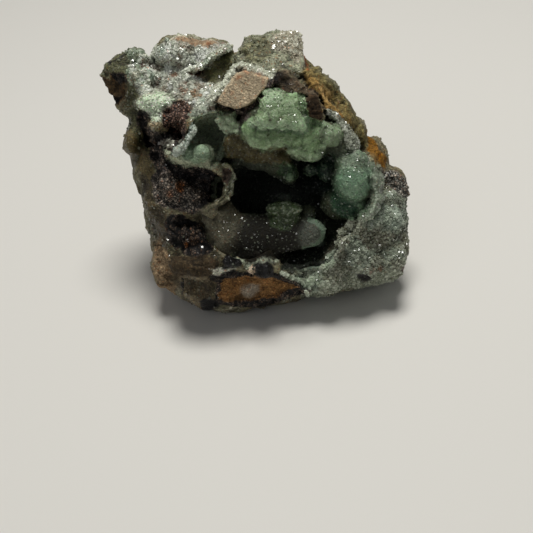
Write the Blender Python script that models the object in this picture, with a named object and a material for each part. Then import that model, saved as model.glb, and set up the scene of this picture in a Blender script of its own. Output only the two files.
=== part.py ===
"""Smithsonite specimen, cabinet size: a broken block of iron-stained matrix, open at the
front in one deep hollow, and the green botryoidal smithsonite crust that lines the hollow.

Shapes are laid out in millimetres on the specimen's open face: x to the right, y up the
face and z out of it, from the middle of the specimen. The face leans back, and to_world()
turns those places into the part's own frame: metres, +Z up, standing on its broken base.
"""

import math

import bmesh
import bpy
from mathutils import Matrix, Vector

MM = 0.001

# How the specimen sits
FACE_ELEVATION = math.radians(32.5)  # the open face looks this far above the horizon
FACE_ROLL = math.radians(-6.15)  # and is turned this far round its own middle
CENTRE_HEIGHT = 19.0  # height of the middle of the specimen above its base

# Surfaces
GAP = 0.35  # clearance between the crust and the hollow it lines
ROCK_VOXEL = 0.45
CRUST_VOXEL = 0.35
MATRIX_TRIANGLES = 6500
CRUST_TRIANGLES = 3200
LUMP_DETAIL = 3  # subdivisions of each lump's icosphere
FLOOR_BLOCK = 80.0  # side of the block that cuts the base flat

# Colours
MATRIX_COLOUR = (0.155, 0.135, 0.095)
SMITHSONITE_COLOUR = (0.235, 0.385, 0.29)

# Chunks of the block: the corners of convex pieces that overlap, (x, y, z) on the face
CORE = [
    (-16.4, -4.5, -1.0), (-14.9, -7.5, -1.0), (-15.8, -12.0, -3.0), (-15.2, -17.4, -4.5),
    (-11.3, -20.0, -3.0), (-8.2, -21.9, -2.0), (-2.0, -22.0, -1.0), (2.5, -20.5, -0.5),
    (7.0, -19.2, 0.0), (-17.0, 0.5, -1.0), (-19.4, 4.5, -1.5), (-13.8, -1.2, 4.5),
    (-12.8, -9.9, 4.5), (-11.6, -15.3, 2.5), (-6.1, -19.1, 2.5), (-7.1, -8.9, 8.0),
    (-7.5, -1.0, 8.5), (5.1, -15.5, 5.5), (-2.2, -13.6, 7.2), (6.0, 3.0, 8.0),
    (15.0, -12.0, 1.0), (17.0, 2.0, 1.0),
    (-13.0, 10.0, -11.0), (-15.5, -2.0, -12.0), (-12.0, -12.0, -14.0), (0.0, -12.0, -17.0),
    (14.0, -13.0, -13.0), (17.0, -3.0, -13.0), (13.0, 8.0, -12.0), (0.0, 14.0, -11.0),
]
CROWN = [
    (-19.6, 6.5, -1.0), (-19.0, 8.5, 0.0), (-13.6, 7.0, 5.0), (-6.5, 8.5, 8.6),
    (0.0, 8.6, 8.8), (6.2, 8.6, 8.4), (12.9, 4.4, 6.0), (17.0, 5.0, -1.0), (14.8, 9.3, -2.5),
    (13.3, 11.4, -2.5), (9.3, 15.0, -1.5), (7.2, 18.0, -1.0), (-16.0, 16.5, -1.5),
    (-13.0, 17.6, -2.0), (-3.0, 17.2, -2.0), (3.0, 14.5, 6.0), (-10.0, 12.5, 4.6),
    (-14.0, 13.0, -10.0), (-4.0, 17.0, -10.0), (6.0, 16.0, -10.0), (14.0, 4.0, -11.0),
    (0.0, 0.0, -10.0),
]
HORN = [
    (-23.2, 13.8, 0.0), (-22.4, 16.2, 0.0), (-18.6, 18.4, -0.5), (-22.0, 11.2, 0.0),
    (-20.2, 8.6, 0.0), (-16.5, 17.3, 0.0), (-17.0, 9.0, 3.0), (-19.5, 14.5, 3.4),
    (-15.0, 14.5, 3.4), (-19.5, 13.0, -7.0), (-15.0, 10.0, -8.0), (-21.5, 14.0, -4.0),
]
RIGHT_HILL = [
    (-2.6, 18.8, -2.0), (-1.2, 20.3, -1.8), (1.0, 20.8, -1.8), (4.7, 21.1, -1.8),
    (7.0, 20.8, -1.2), (7.2, 19.0, 0.0), (7.4, 16.5, 1.0), (-3.0, 15.0, 3.0),
    (3.5, 15.5, 6.0), (-1.0, 16.5, 4.5), (6.0, 18.0, 2.5), (1.5, 18.5, 2.8),
    (0.0, 16.0, -8.0), (6.0, 17.0, -8.0),
]
LOBE = [
    (23.0, -3.0, -0.5), (22.8, -7.5, -0.3), (23.4, -9.0, -0.3), (23.5, -12.8, -0.3),
    (22.8, -16.6, -1.0), (20.3, -17.4, -1.5), (16.3, -17.8, -1.5), (12.2, -18.0, -1.0),
    (8.4, -19.4, -0.5), (8.8, -17.0, 4.0), (10.2, -12.0, 7.4), (13.4, -6.6, 7.2),
    (17.2, -3.4, 5.6), (20.5, -3.0, 3.6), (18.9, -9.8, 6.0), (20.3, -14.5, 3.6),
    (13.1, -14.9, 6.0), (16.0, -16.8, 2.0), (8.0, -17.5, -8.0), (18.0, -12.0, -11.0),
    (19.0, -4.0, -10.0), (10.0, -2.0, -10.0), (6.0, -12.0, -10.0),
]
GRANULAR_FACET = [  # flat-faced brown block above the ledges
    (-4.3, 8.9, 10.6), (-2.0, 14.2, 9.2), (2.8, 13.4, 8.8), (0.8, 9.3, 11.0),
    (-4.6, 9.6, 5.0), (-2.0, 14.6, 4.0), (4.0, 14.0, 4.0), (1.6, 9.6, 5.0),
]
BANDED_BLOCK = [  # dark banded block at the right of the ledges
    (6.9, 7.2, 9.6), (9.3, 7.2, 9.0), (9.0, 11.6, 8.2), (6.4, 11.8, 8.8),
    (6.9, 7.6, 4.0), (9.6, 7.6, 4.0), (9.4, 12.0, 3.0), (6.4, 12.0, 3.0),
]
DARK_BAR = [  # dark bar from the granular block down to the banded one
    (2.4, 14.8, 7.4), (3.4, 12.2, 8.2), (9.8, 11.6, 6.4), (9.4, 13.2, 5.4),
    (2.4, 14.8, 3.0), (3.0, 12.0, 3.0), (10.0, 11.0, 2.0), (9.6, 13.4, 1.5),
]
BROWN_SECTION = [  # iron-stained broken face at the front of the foot
    (-6.0, -16.0, 5.2), (-3.0, -15.0, 6.2), (3.0, -15.2, 6.0), (7.2, -16.6, 4.6),
    (6.6, -18.6, 2.6), (0.0, -19.9, 2.4), (-5.6, -19.4, 2.6), (-4.0, -15.0, -2.0),
    (5.0, -15.0, -2.0), (0.0, -19.4, -3.0),
]
BASE = [  # world millimetres: the broken foot that the block stands on
    (-9.0, -8.5, -0.8), (4.5, -9.0, -0.8), (14.0, -6.0, -0.8), (14.5, 4.0, -0.8),
    (6.0, 11.5, -0.8), (-8.5, 10.5, -0.8), (-13.5, 1.0, -0.8), (-13.0, -5.0, 4.0),
    (15.0, -4.0, 5.0), (12.5, 10.0, 6.0), (-11.0, 12.0, 6.0), (0.0, -10.0, 4.0),
]
CHUNKS = [
    CORE, CROWN, HORN, RIGHT_HILL, LOBE, GRANULAR_FACET, BANDED_BLOCK, DARK_BAR, BROWN_SECTION,
]

# Lumps on the block: (x, y, z) of the middle, then the three radii
ROCK_LUMPS = [
    ((-10.5, 17.5, -1.5), (5.0, 2.9, 5.0)),  # left hill
    ((-6.0, 16.7, 0.0), (4.0, 2.9, 5.0)),
    ((-14.5, 9.8, 3.2), (3.0, 2.2, 2.6)),  # pale swelling at the upper left
    ((-13.8, 6.6, 4.8), (1.2, 1.4, 1.6)),  # and the knob that hangs from it
    ((-7.4, 8.0, 8.4), (1.6, 1.3, 2.0)),  # pale ridge round the upper left of the hollow
    ((-9.0, 6.4, 8.8), (1.1, 1.6, 1.9)),
    ((-10.0, 4.6, 8.6), (1.0, 1.5, 1.8)),
    ((-11.0, 3.2, 7.8), (1.1, 1.2, 1.7)),
    ((-18.6, 4.6, -0.6), (1.5, 2.6, 3.5)),  # swellings down the left edge
    ((-16.9, -0.2, -0.6), (1.6, 2.2, 3.0)),
    ((-15.3, -4.6, 0.4), (1.6, 2.4, 3.2)),
    ((-8.6, -13.6, 5.4), (3.2, 2.2, 2.4)),  # swelling below the lower nodule
    ((-8.6, -18.2, 1.6), (2.6, 2.4, 2.4)),
    ((-14.4, -14.2, -1.2), (1.7, 3.6, 3.0)),
    ((9.0, 12.0, 3.5), (3.2, 3.4, 3.2)),  # shoulder of the upper right side
    ((12.6, 8.2, 2.4), (2.4, 3.0, 3.2)),
    ((14.6, 6.2, 0.4), (2.2, 2.6, 3.2)),
    ((18.2, 3.8, -1.6), (1.5, 1.7, 2.0)),  # limonite lumps on the right edge
    ((18.9, 1.7, -1.4), (1.6, 1.6, 2.0)),
    ((17.4, 1.2, 0.6), (2.0, 3.0, 3.6)),
    ((20.7, -1.0, 0.2), (2.3, 1.8, 2.6)),  # oxide nodule at the far right
    ((22.0, -2.4, 0.0), (1.5, 1.7, 2.2)),
    ((11.6, -9.4, 6.2), (2.6, 3.6, 2.0)),  # domes of the lower right lobe
    ((16.2, -6.6, 5.2), (3.2, 3.0, 2.2)),
    ((19.8, -7.4, 3.6), (2.6, 3.0, 2.4)),
    ((20.0, -12.6, 3.0), (2.8, 3.0, 2.6)),
    ((15.6, -12.8, 5.0), (3.0, 2.8, 2.0)),
    ((10.6, -16.0, 3.2), (2.8, 2.2, 2.6)),
    ((-7.0, -5.0, -12.0), (7.0, 6.0, 5.0)),  # swellings of the broken back
    ((5.0, -6.0, -13.5), (7.5, 6.0, 4.5)),
    ((-1.0, 5.0, -11.5), (8.0, 6.0, 4.5)),
    ((9.0, 6.0, -10.5), (5.5, 6.0, 4.5)),
    ((-11.0, 7.0, -9.5), (4.5, 5.5, 4.5)),
    ((-2.0, 13.5, -9.0), (6.5, 4.0, 4.0)),
    ((-3.7, -12.8, 7.2), (1.2, 1.1, 1.3)),  # black beads above the brown section
    ((-2.3, -13.5, 7.0), (0.9, 0.8, 1.1)),
    ((1.2, -13.6, 6.8), (1.3, 0.9, 1.2)),
    ((3.0, -13.8, 6.2), (1.0, 0.8, 1.1)),
]

# The hollow with the dishes its crust swells into, as lumps of empty space
HOLLOW = [
    ((2.9, -3.6, 3.0), (9.6, 7.6, 11.0)),
    ((9.0, -2.2, 2.0), (6.4, 5.8, 7.4)),
    ((6.0, -11.2, 3.2), (3.8, 3.2, 7.0)),  # slot below and right of the tongue
    ((9.2, -9.6, 3.2), (3.9, 4.4, 7.4)),
    ((12.0, -6.8, 3.2), (3.5, 3.7, 6.8)),
    ((-1.8, -8.4, 4.0), (5.4, 4.6, 7.0)),
    ((4.2, 5.4, 9.6), (7.4, 4.6, 6.0)),  # under the crown, behind the ledges
    ((10.6, 4.2, 9.2), (4.0, 3.4, 4.2)),
    ((-5.8, 5.0, 6.6), (4.6, 3.6, 6.0)),  # upper left recess
    ((14.2, -1.4, 8.0), (4.2, 4.4, 5.2)),  # dish of the right-hand knobs
]
# Pits in the block: the black nodules' pockets, the notch at the top and smaller vugs
PITS = [
    ((-9.4, -2.4, 8.6), (5.4, 3.1, 6.0)),  # upper pocket
    ((-9.3, -8.8, 8.4), (4.2, 3.1, 5.4)),  # lower pocket
    ((-12.4, 5.0, 8.4), (2.2, 2.2, 3.8)),  # black vugs below the pale swelling
    ((-12.6, 1.4, 8.0), (1.6, 1.5, 3.0)),
    ((-16.0, 7.0, 4.4), (1.5, 1.6, 2.2)),
    ((-21.6, 12.0, 4.0), (2.2, 2.8, 3.2)),  # broken side of the horn
    ((-4.6, 15.2, 6.4), (2.8, 2.4, 4.4)),  # notch between the hills
    ((-2.6, 18.8, 0.6), (1.2, 2.4, 4.0)),
    ((1.0, 18.4, 5.0), (3.0, 2.0, 2.4)),  # dish in the right hill
]
# Black nodules that sit in their pockets
NODULES = [
    ((-11.4, -3.0, 4.0), (2.8, 2.0, 2.6)), ((-8.8, -3.8, 4.4), (2.2, 1.5, 2.2)),
    ((-12.8, -1.8, 3.2), (1.7, 1.8, 2.4)),
    ((-9.4, -9.4, 4.4), (2.6, 1.9, 1.8)), ((-7.6, -9.8, 4.8), (1.5, 1.4, 1.6)),
]

# Space left inside the crust
VOID = [
    ((2.9, -3.2, 8.0), (8.8, 6.8, 13.4)),
    ((9.2, -2.2, 6.6), (5.4, 4.8, 9.6)),
    ((6.2, -11.1, 8.0), (3.3, 2.8, 9.0)),  # slot below and right of the tongue
    ((9.2, -9.6, 8.0), (3.5, 4.0, 9.6)),
    ((12.0, -6.8, 8.0), (3.0, 3.2, 8.6)),
    ((-1.8, -8.4, 9.2), (4.8, 4.0, 9.0)),
    ((4.0, 3.0, 13.0), (6.6, 3.2, 6.4)),
    ((-5.8, 4.9, 10.6), (4.3, 3.3, 8.0)),  # upper left recess
]
# Lumps of smithsonite that stand on the crust
CRUST_LUMPS = [
    ((0.9, 7.8, 9.4), (2.4, 1.9, 2.8)),  # upper ledge
    ((3.6, 7.4, 9.8), (2.6, 2.1, 3.0)),
    ((6.2, 6.9, 9.2), (2.0, 1.8, 2.6)),
    ((-2.3, 6.4, 7.8), (1.8, 2.0, 2.4)),  # middle ledge
    ((0.2, 5.0, 8.0), (2.4, 1.7, 2.6)),
    ((3.0, 4.6, 8.2), (2.4, 1.6, 2.6)),
    ((5.8, 4.6, 8.0), (2.4, 1.7, 2.6)),
    ((8.4, 4.8, 7.4), (1.9, 1.9, 2.4)),
    ((6.4, 3.0, 6.6), (1.6, 1.5, 2.2)),  # lower ledge
    ((8.2, 2.8, 6.4), (1.9, 1.5, 2.2)),
    ((10.9, 5.0, 7.2), (1.8, 1.9, 2.2)),  # dome at the end of the ledges
    ((12.4, 3.2, 6.0), (1.7, 1.9, 2.2)),
    ((-2.6, 3.2, 4.4), (2.6, 2.2, 3.0)),  # mound under the ledges
    ((0.4, 2.4, 4.2), (2.8, 2.3, 3.2)),
    ((3.2, 1.3, 3.6), (2.3, 2.0, 3.0)),
    ((5.0, -0.3, 3.2), (1.6, 1.7, 2.4)),  # and the bulb at its end
    ((-4.4, -9.6, 3.6), (3.0, 3.0, 3.8)),  # tongue
    ((-1.4, -9.8, 3.4), (3.4, 2.9, 3.8)),
    ((2.0, -9.6, 3.4), (3.4, 2.6, 3.6)),
    ((5.2, -9.2, 3.4), (3.0, 2.2, 3.4)),
    ((8.0, -9.0, 3.6), (2.4, 2.2, 2.8)),
    ((3.8, -6.9, 4.2), (2.6, 2.2, 2.6)),  # knob on the tongue
    ((4.1, -5.7, 5.0), (2.1, 1.8, 2.0)),
    ((7.0, -6.6, 2.0), (1.6, 1.6, 2.0)),
    ((14.2, -1.1, 5.4), (3.1, 3.2, 3.4)),  # right-hand knobs
    ((16.0, 1.0, 4.8), (1.9, 2.0, 2.4)),
    ((12.4, -4.6, 3.2), (2.8, 2.5, 3.0)),
    ((11.4, 0.8, 1.8), (2.0, 2.0, 2.6)),
    ((8.2, 2.2, 0.6), (1.7, 1.6, 2.4)),
    ((-8.2, 2.4, 5.6), (2.6, 1.5, 2.4)),  # pale ledge and knob in the upper left recess
    ((-7.2, 2.7, 7.0), (1.5, 1.4, 1.7)),
]


def to_world(point):
    """A place on the face, in millimetres, as a place in the part's frame, in metres."""
    turn = Matrix.Rotation(math.pi / 2 - FACE_ELEVATION, 3, "X") @ Matrix.Rotation(FACE_ROLL, 3, "Z")
    return (turn @ Vector(point) + Vector((0, 0, CENTRE_HEIGHT))) * MM


def face_matrix():
    """The same turn and shift as one matrix, for shapes built on the face in millimetres."""
    turn = Matrix.Rotation(math.pi / 2 - FACE_ELEVATION, 4, "X") @ Matrix.Rotation(FACE_ROLL, 4, "Z")
    return Matrix.Scale(MM, 4) @ Matrix.Translation((0, 0, CENTRE_HEIGHT)) @ turn


def material(name, colour, roughness):
    mat = bpy.data.materials.new(name)
    mat.use_nodes = True
    shader = mat.node_tree.nodes["Principled BSDF"]
    shader.inputs["Base Color"].default_value = (*colour, 1.0)
    shader.inputs["Roughness"].default_value = roughness
    shader.inputs["Metallic"].default_value = 0.0
    mat.diffuse_color = (*colour, 1.0)
    return mat


def add_chunk(bm, corners):
    """A convex piece through these corners, given in world metres."""
    verts = [bm.verts.new(corner) for corner in corners]
    hull = bmesh.ops.convex_hull(bm, input=verts)
    loose = [v for v in hull["geom_interior"] + hull["geom_unused"] if isinstance(v, bmesh.types.BMVert)]
    bmesh.ops.delete(bm, geom=list(set(loose)), context="VERTS")


def add_lump(bm, centre, radii, grow=0.0):
    """An ellipsoid on the face, its radii made larger by grow."""
    size = Matrix.Diagonal([radius + grow for radius in radii]).to_4x4()
    place = face_matrix() @ Matrix.Translation(centre) @ size
    bmesh.ops.create_icosphere(bm, subdivisions=LUMP_DETAIL, radius=1.0, matrix=place)


def new_object(name, bm):
    mesh = bpy.data.meshes.new(name)
    bmesh.ops.recalc_face_normals(bm, faces=bm.faces)
    bm.to_mesh(mesh)
    bm.free()
    obj = bpy.data.objects.new(name, mesh)
    bpy.context.scene.collection.objects.link(obj)
    return obj


def lumps_cutter(name, lumps, voxel, grow=0.0):
    """A hidden solid made of lumps, to cut with or to add."""
    bm = bmesh.new()
    for centre, radii in lumps:
        add_lump(bm, centre, radii, grow)
    obj = new_object(name, bm)
    hide(obj)
    remesh(obj, voxel)
    return obj


def hide(obj):
    obj.hide_render = True
    obj.display_type = "WIRE"


def remesh(obj, voxel):
    """Fuses the overlapping pieces of a mesh into one skin."""
    modifier = obj.modifiers.new("fuse", "REMESH")
    modifier.mode = "VOXEL"
    modifier.voxel_size = voxel * MM


def smooth(obj, steps, factor=0.5):
    modifier = obj.modifiers.new("weather", "SMOOTH")
    modifier.iterations = steps
    modifier.factor = factor


def boolean(obj, operation, other):
    modifier = obj.modifiers.new(operation.lower(), "BOOLEAN")
    modifier.operation = operation
    modifier.object = other
    modifier.solver = "EXACT"


def roughen(obj, kind, size, strength):
    """Raises and sinks the skin by a cloud or cell pattern of this size, in millimetres."""
    texture = bpy.data.textures.new(f"{obj.name}_{kind.lower()}_{size}", kind)
    texture.noise_scale = size * MM
    modifier = obj.modifiers.new("roughness", "DISPLACE")
    modifier.texture = texture
    modifier.texture_coords = "LOCAL"
    modifier.strength = strength * MM
    modifier.mid_level = 0.5


def settle(obj):
    """Turns the modifiers so far into plain mesh."""
    graph = bpy.context.evaluated_depsgraph_get()
    mesh = bpy.data.meshes.new_from_object(obj.evaluated_get(graph))
    obj.modifiers.clear()
    obj.data = mesh


def keep_main_body(obj):
    """Drops the crumbs that are not joined to the largest piece."""
    settle(obj)
    bm = bmesh.new()
    bm.from_mesh(obj.data)
    unseen = set(bm.verts)
    bodies = []
    while unseen:
        edge_of_search = [unseen.pop()]
        body = set(edge_of_search)
        while edge_of_search:
            vert = edge_of_search.pop()
            near = {edge.other_vert(vert) for edge in vert.link_edges} & unseen
            unseen -= near
            body |= near
            edge_of_search.extend(near)
        bodies.append(body)
    main_body = max(bodies, key=len)
    crumbs = [vert for body in bodies if body is not main_body for vert in body]
    bmesh.ops.delete(bm, geom=crumbs, context="VERTS")
    bm.to_mesh(obj.data)
    bm.free()


def decimate(obj, triangles):
    """Thins the skin to about this many triangles."""
    settle(obj)
    obj.data.calc_loop_triangles()
    modifier = obj.modifiers.new("thin", "DECIMATE")
    modifier.ratio = triangles / len(obj.data.loop_triangles)


def finish(obj, mat):
    """Smooth shading and the piece's one material, on its final mesh."""
    settle(obj)
    obj.data.shade_smooth()
    obj.data.materials.clear()
    obj.data.materials.append(mat)


def build_rock():
    """The whole block before it is hollowed."""
    bm = bmesh.new()
    for corners in CHUNKS:
        add_chunk(bm, [to_world(corner) for corner in corners])
    add_chunk(bm, [Vector(corner) * MM for corner in BASE])
    for centre, radii in ROCK_LUMPS:
        add_lump(bm, centre, radii)
    rock = new_object("rock", bm)
    remesh(rock, ROCK_VOXEL)
    smooth(rock, 2)
    roughen(rock, "CLOUDS", 3.6, 1.1)
    roughen(rock, "VORONOI", 2.4, 0.9)
    remesh(rock, ROCK_VOXEL)
    settle(rock)
    hide(rock)
    return rock


def build_matrix(rock):
    """The block with its hollow and pits cut out, the nodules set in, and a flat foot."""
    matrix = bpy.data.objects.new("matrix", rock.data.copy())
    bpy.context.scene.collection.objects.link(matrix)
    boolean(matrix, "DIFFERENCE", lumps_cutter("pit_cutter", PITS, ROCK_VOXEL))
    boolean(matrix, "UNION", lumps_cutter("nodule_lumps", NODULES, ROCK_VOXEL))
    boolean(matrix, "DIFFERENCE", lumps_cutter("hollow_cutter", HOLLOW, ROCK_VOXEL))
    remesh(matrix, CRUST_VOXEL)
    keep_main_body(matrix)
    decimate(matrix, MATRIX_TRIANGLES)

    bm = bmesh.new()
    bmesh.ops.create_cube(bm, size=FLOOR_BLOCK * MM)
    bmesh.ops.translate(bm, verts=bm.verts, vec=(0, 0, -FLOOR_BLOCK / 2 * MM))
    floor = new_object("floor_cutter", bm)
    hide(floor)
    boolean(matrix, "DIFFERENCE", floor)
    finish(matrix, material("iron_stained_matrix", MATRIX_COLOUR, 0.8))


def build_crust(rock):
    """The lining of the hollow with its ledges, tongue and knobs."""
    crust = bpy.data.objects.new("smithsonite_crust", rock.data.copy())
    bpy.context.scene.collection.objects.link(crust)
    boolean(crust, "DIFFERENCE", lumps_cutter("crust_void", VOID, CRUST_VOXEL))
    boolean(crust, "UNION", lumps_cutter("crust_lumps", CRUST_LUMPS, CRUST_VOXEL))
    boolean(crust, "INTERSECT", lumps_cutter("hollow_inside", HOLLOW, CRUST_VOXEL, grow=-GAP))
    remesh(crust, CRUST_VOXEL)
    smooth(crust, 2)
    keep_main_body(crust)
    decimate(crust, CRUST_TRIANGLES)
    finish(crust, material("smithsonite", SMITHSONITE_COLOUR, 0.35))


def main():
    for obj in list(bpy.data.objects):
        bpy.data.objects.remove(obj)
    rock = build_rock()
    build_matrix(rock)
    build_crust(rock)


main()
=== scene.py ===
"""Looks of a smithsonite specimen: broken iron-stained rock under a glittering druse, with
spongy black oxide, limonite and, in its hollow, a waxy green botryoidal crust.

Lengths are in millimetres on the stone's open face, as in the part's source: x to the right,
y up the face, z out of it. Outlines are drawn on the plane of the face as the stone is seen
from EYE out along the face's axis, so each lies on what is nearest in that direction.
"""

import math
from itertools import product

import bmesh
import bpy
import numpy as np
from mathutils import Matrix, Vector
from mathutils.bvhtree import BVHTree


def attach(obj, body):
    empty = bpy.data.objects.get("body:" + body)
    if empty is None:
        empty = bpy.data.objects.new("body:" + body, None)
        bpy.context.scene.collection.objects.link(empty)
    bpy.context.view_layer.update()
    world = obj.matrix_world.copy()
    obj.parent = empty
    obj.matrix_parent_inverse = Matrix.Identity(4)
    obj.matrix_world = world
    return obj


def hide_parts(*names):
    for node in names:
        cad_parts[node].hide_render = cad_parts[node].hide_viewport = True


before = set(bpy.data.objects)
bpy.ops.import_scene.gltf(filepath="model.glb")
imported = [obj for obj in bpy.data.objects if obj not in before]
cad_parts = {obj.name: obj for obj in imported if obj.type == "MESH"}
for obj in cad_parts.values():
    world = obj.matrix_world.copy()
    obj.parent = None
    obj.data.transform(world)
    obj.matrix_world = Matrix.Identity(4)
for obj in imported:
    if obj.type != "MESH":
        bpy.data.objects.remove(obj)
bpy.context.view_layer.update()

MM = 0.001
EYE = 128.2  # how far out along the face's axis the stone is seen from
FACE_ELEVATION = math.radians(32.5)  # the open face looks this far above the horizon
FACE_ROLL = math.radians(-6.15)  # and is turned this far round its own middle
CENTRE_HEIGHT = 19.0  # height of the middle of the stone above its base
FACE_TURN = Matrix.Rotation(math.pi / 2 - FACE_ELEVATION, 3, "X") @ Matrix.Rotation(FACE_ROLL, 3, "Z")

SEED = 11
ROCK_VOXEL = 0.22
CRUST_VOXEL = 0.20
ROCK_TRIANGLES = 190000
SMOOTHING_ROUNDS = 9
SLAB_STEP = 0.2  # between the points of a slab
SLAB_MARGIN = 0.8  # round the outline of a slab, for its ragged edge
PAINT_SWAY = 0.45  # how far the edges of paint wander
RELIEF_SWAY = 0.3  # how far those of steps, rings and bands do

# In metres
WELD = 0.000002  # vertices nearer than this are one
FREE_GAP = 0.0010  # this far from the rock the crust takes its full relief
CLOSED_GAP = 0.0006  # gaps to the rock narrower than this are closed
OVERLAP = 0.00006  # how far the crust then runs into the rock
SEARCH_REACH = 0.0012  # how far from the crust the rock is looked for
FLOOR_SIZE = 0.9
FLOOR_BEND = 0.30  # behind this the floor rises

# In degrees
CAMERA_ELEVATION = 32.535
CAMERA_TURNS = ((-0.11, "Z"), (51.0, "X"), (-6.13, "Z"))


# ---------------------------------------------------------------- places and noise


def to_face(points):
    """World metres to face millimetres, for an array of points."""
    return (points / MM - np.array([0.0, 0.0, CENTRE_HEIGHT])) @ np.array(FACE_TURN)


def to_world(points):
    """Face millimetres to world metres, for an array of points."""
    return (points @ np.array(FACE_TURN).T + np.array([0.0, 0.0, CENTRE_HEIGHT])) * MM


def seen(points):
    """Where each place on the stone lies on the plane of the face, seen from EYE."""
    return points[:, :2] * (EYE / (EYE - points[:, 2]))[:, None]


def lift(u, v, z):
    """The place at height z that is seen at (u, v)."""
    return (u * (1.0 - z / EYE), v * (1.0 - z / EYE), z)


def smoothstep(low, high, value):
    t = np.clip((value - low) / (high - low), 0.0, 1.0)
    return t * t * (3.0 - 2.0 * t)


def lattice(ix, iy, iz, seed):
    """A repeatable random number from 0 to 1 for each whole-number place."""
    h = ix.astype(np.int64) * 374761393 + iy.astype(np.int64) * 668265263
    h = h + iz.astype(np.int64) * 1274126177 + seed * 974634777
    h = (h ^ (h >> 13)) & 0xFFFFFFFF
    h = (h * 1103515245 + 12345) & 0xFFFFFFFF
    h = (h ^ (h >> 16)) & 0xFFFFFFFF
    h = (h * 668265263) & 0xFFFFFFFF
    h = h ^ (h >> 15)
    return (h & 0xFFFFFF) / float(0x1000000)


def noise(points, size, seed):
    """Smooth noise from -1 to 1 with features of this size."""
    p = points / size
    base = np.floor(p)
    f = p - base
    f = f * f * (3.0 - 2.0 * f)
    total = np.zeros(len(points))
    for corner in product((0, 1), repeat=3):
        x, y, z = np.where(corner, f, 1.0 - f).T
        total += x * y * z * lattice(*(base + corner).T, seed)
    return total * 2.0 - 1.0


def fractal(points, size, octaves, seed):
    """Noise with finer noise over it, each octave half as large and half as strong."""
    total = np.zeros(len(points))
    norm = 0.0
    for octave in range(octaves):
        total += 0.5**octave * noise(points, size / 2.0**octave, seed + 31 * octave)
        norm += 0.5**octave
    return total / norm


def cells(points, size, seed):
    """For the nearest seed of a jittered grid: its distance and that of the next one, in cell
    sizes, a random number, and how far along a random slope each point is from it."""
    p = points / size
    base = np.floor(p)
    first = np.full(len(points), 9.0)
    second = np.full(len(points), 9.0)
    home = np.zeros_like(p)
    offset = np.zeros_like(p)
    for step in product((-1, 0, 1), repeat=3):
        cell = base + step
        jitter = np.stack([lattice(*cell.T, seed + k) for k in range(3)], 1)
        away = p - (cell + 0.1 + 0.8 * jitter)
        d = np.sqrt((away**2).sum(1))
        nearer = d < first
        second = np.where(nearer, first, np.minimum(second, d))
        first = np.where(nearer, d, first)
        home[nearer] = cell[nearer]
        offset[nearer] = away[nearer]
    tag = lattice(*home.T, seed + 3)
    slope = np.stack([lattice(*home.T, seed + 4 + k) for k in range(3)], 1)
    tilt = ((slope - 0.5) * offset).sum(1) * 2.0
    return first, second, tag, tilt


def domes(points, size, seed):
    """Rounded bumps side by side: 1 on their tops, 0 in the grooves between them."""
    first, second, tag, _ = cells(points, size, seed)
    return np.clip((second - first) * 1.6, 0.0, 1.0) ** 0.6 * (0.6 + 0.4 * tag)


def chips(points, size, seed):
    """Flat tilted facets side by side, as on a broken stone, from about -1 to 1."""
    _, _, tag, tilt = cells(points, size, seed)
    return tilt + (tag - 0.5) * 0.6


def sway(points, amount):
    """Places on the face's plane shifted by noise, so that outlines get ragged edges."""
    shift = [fractal(points, 1.1, 2, 40 + 50 * k) * amount for k in range(2)]
    return seen(points) + np.stack(shift, 1)


def inside(uv, shape):
    """How far each place is inside an outline: negative outside it."""
    near = np.full(len(uv), -9.0)
    low, high = shape.min(0) - 3.0, shape.max(0) + 3.0
    use = np.all((uv > low) & (uv < high), axis=1)
    x, y = uv[use].T
    best = np.full(len(x), 1e9)
    odd = np.zeros(len(x), dtype=bool)
    for (ax, ay), (bx, by) in zip(shape, np.roll(shape, -1, axis=0)):
        ex, ey = bx - ax, by - ay
        wx, wy = x - ax, y - ay
        t = np.clip((wx * ex + wy * ey) / (ex * ex + ey * ey), 0.0, 1.0)
        best = np.minimum(best, (wx - ex * t) ** 2 + (wy - ey * t) ** 2)
        if ay != by:
            odd ^= ((ay > y) != (by > y)) & (x < ex * (y - ay) / ey + ax)
    near[use] = np.where(odd, 1.0, -1.0) * np.sqrt(best)
    return near


# ---------------------------------------------------------------- looks and colours


def tone(red, green, blue):
    """A colour given in 0 to 255 as a screen shows it, in linear light."""
    screen = [c / 255.0 for c in (red, green, blue)]
    return tuple(c / 12.92 if c <= 10 / 255.0 else ((c + 0.055) / 1.055) ** 2.4 for c in screen)


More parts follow.
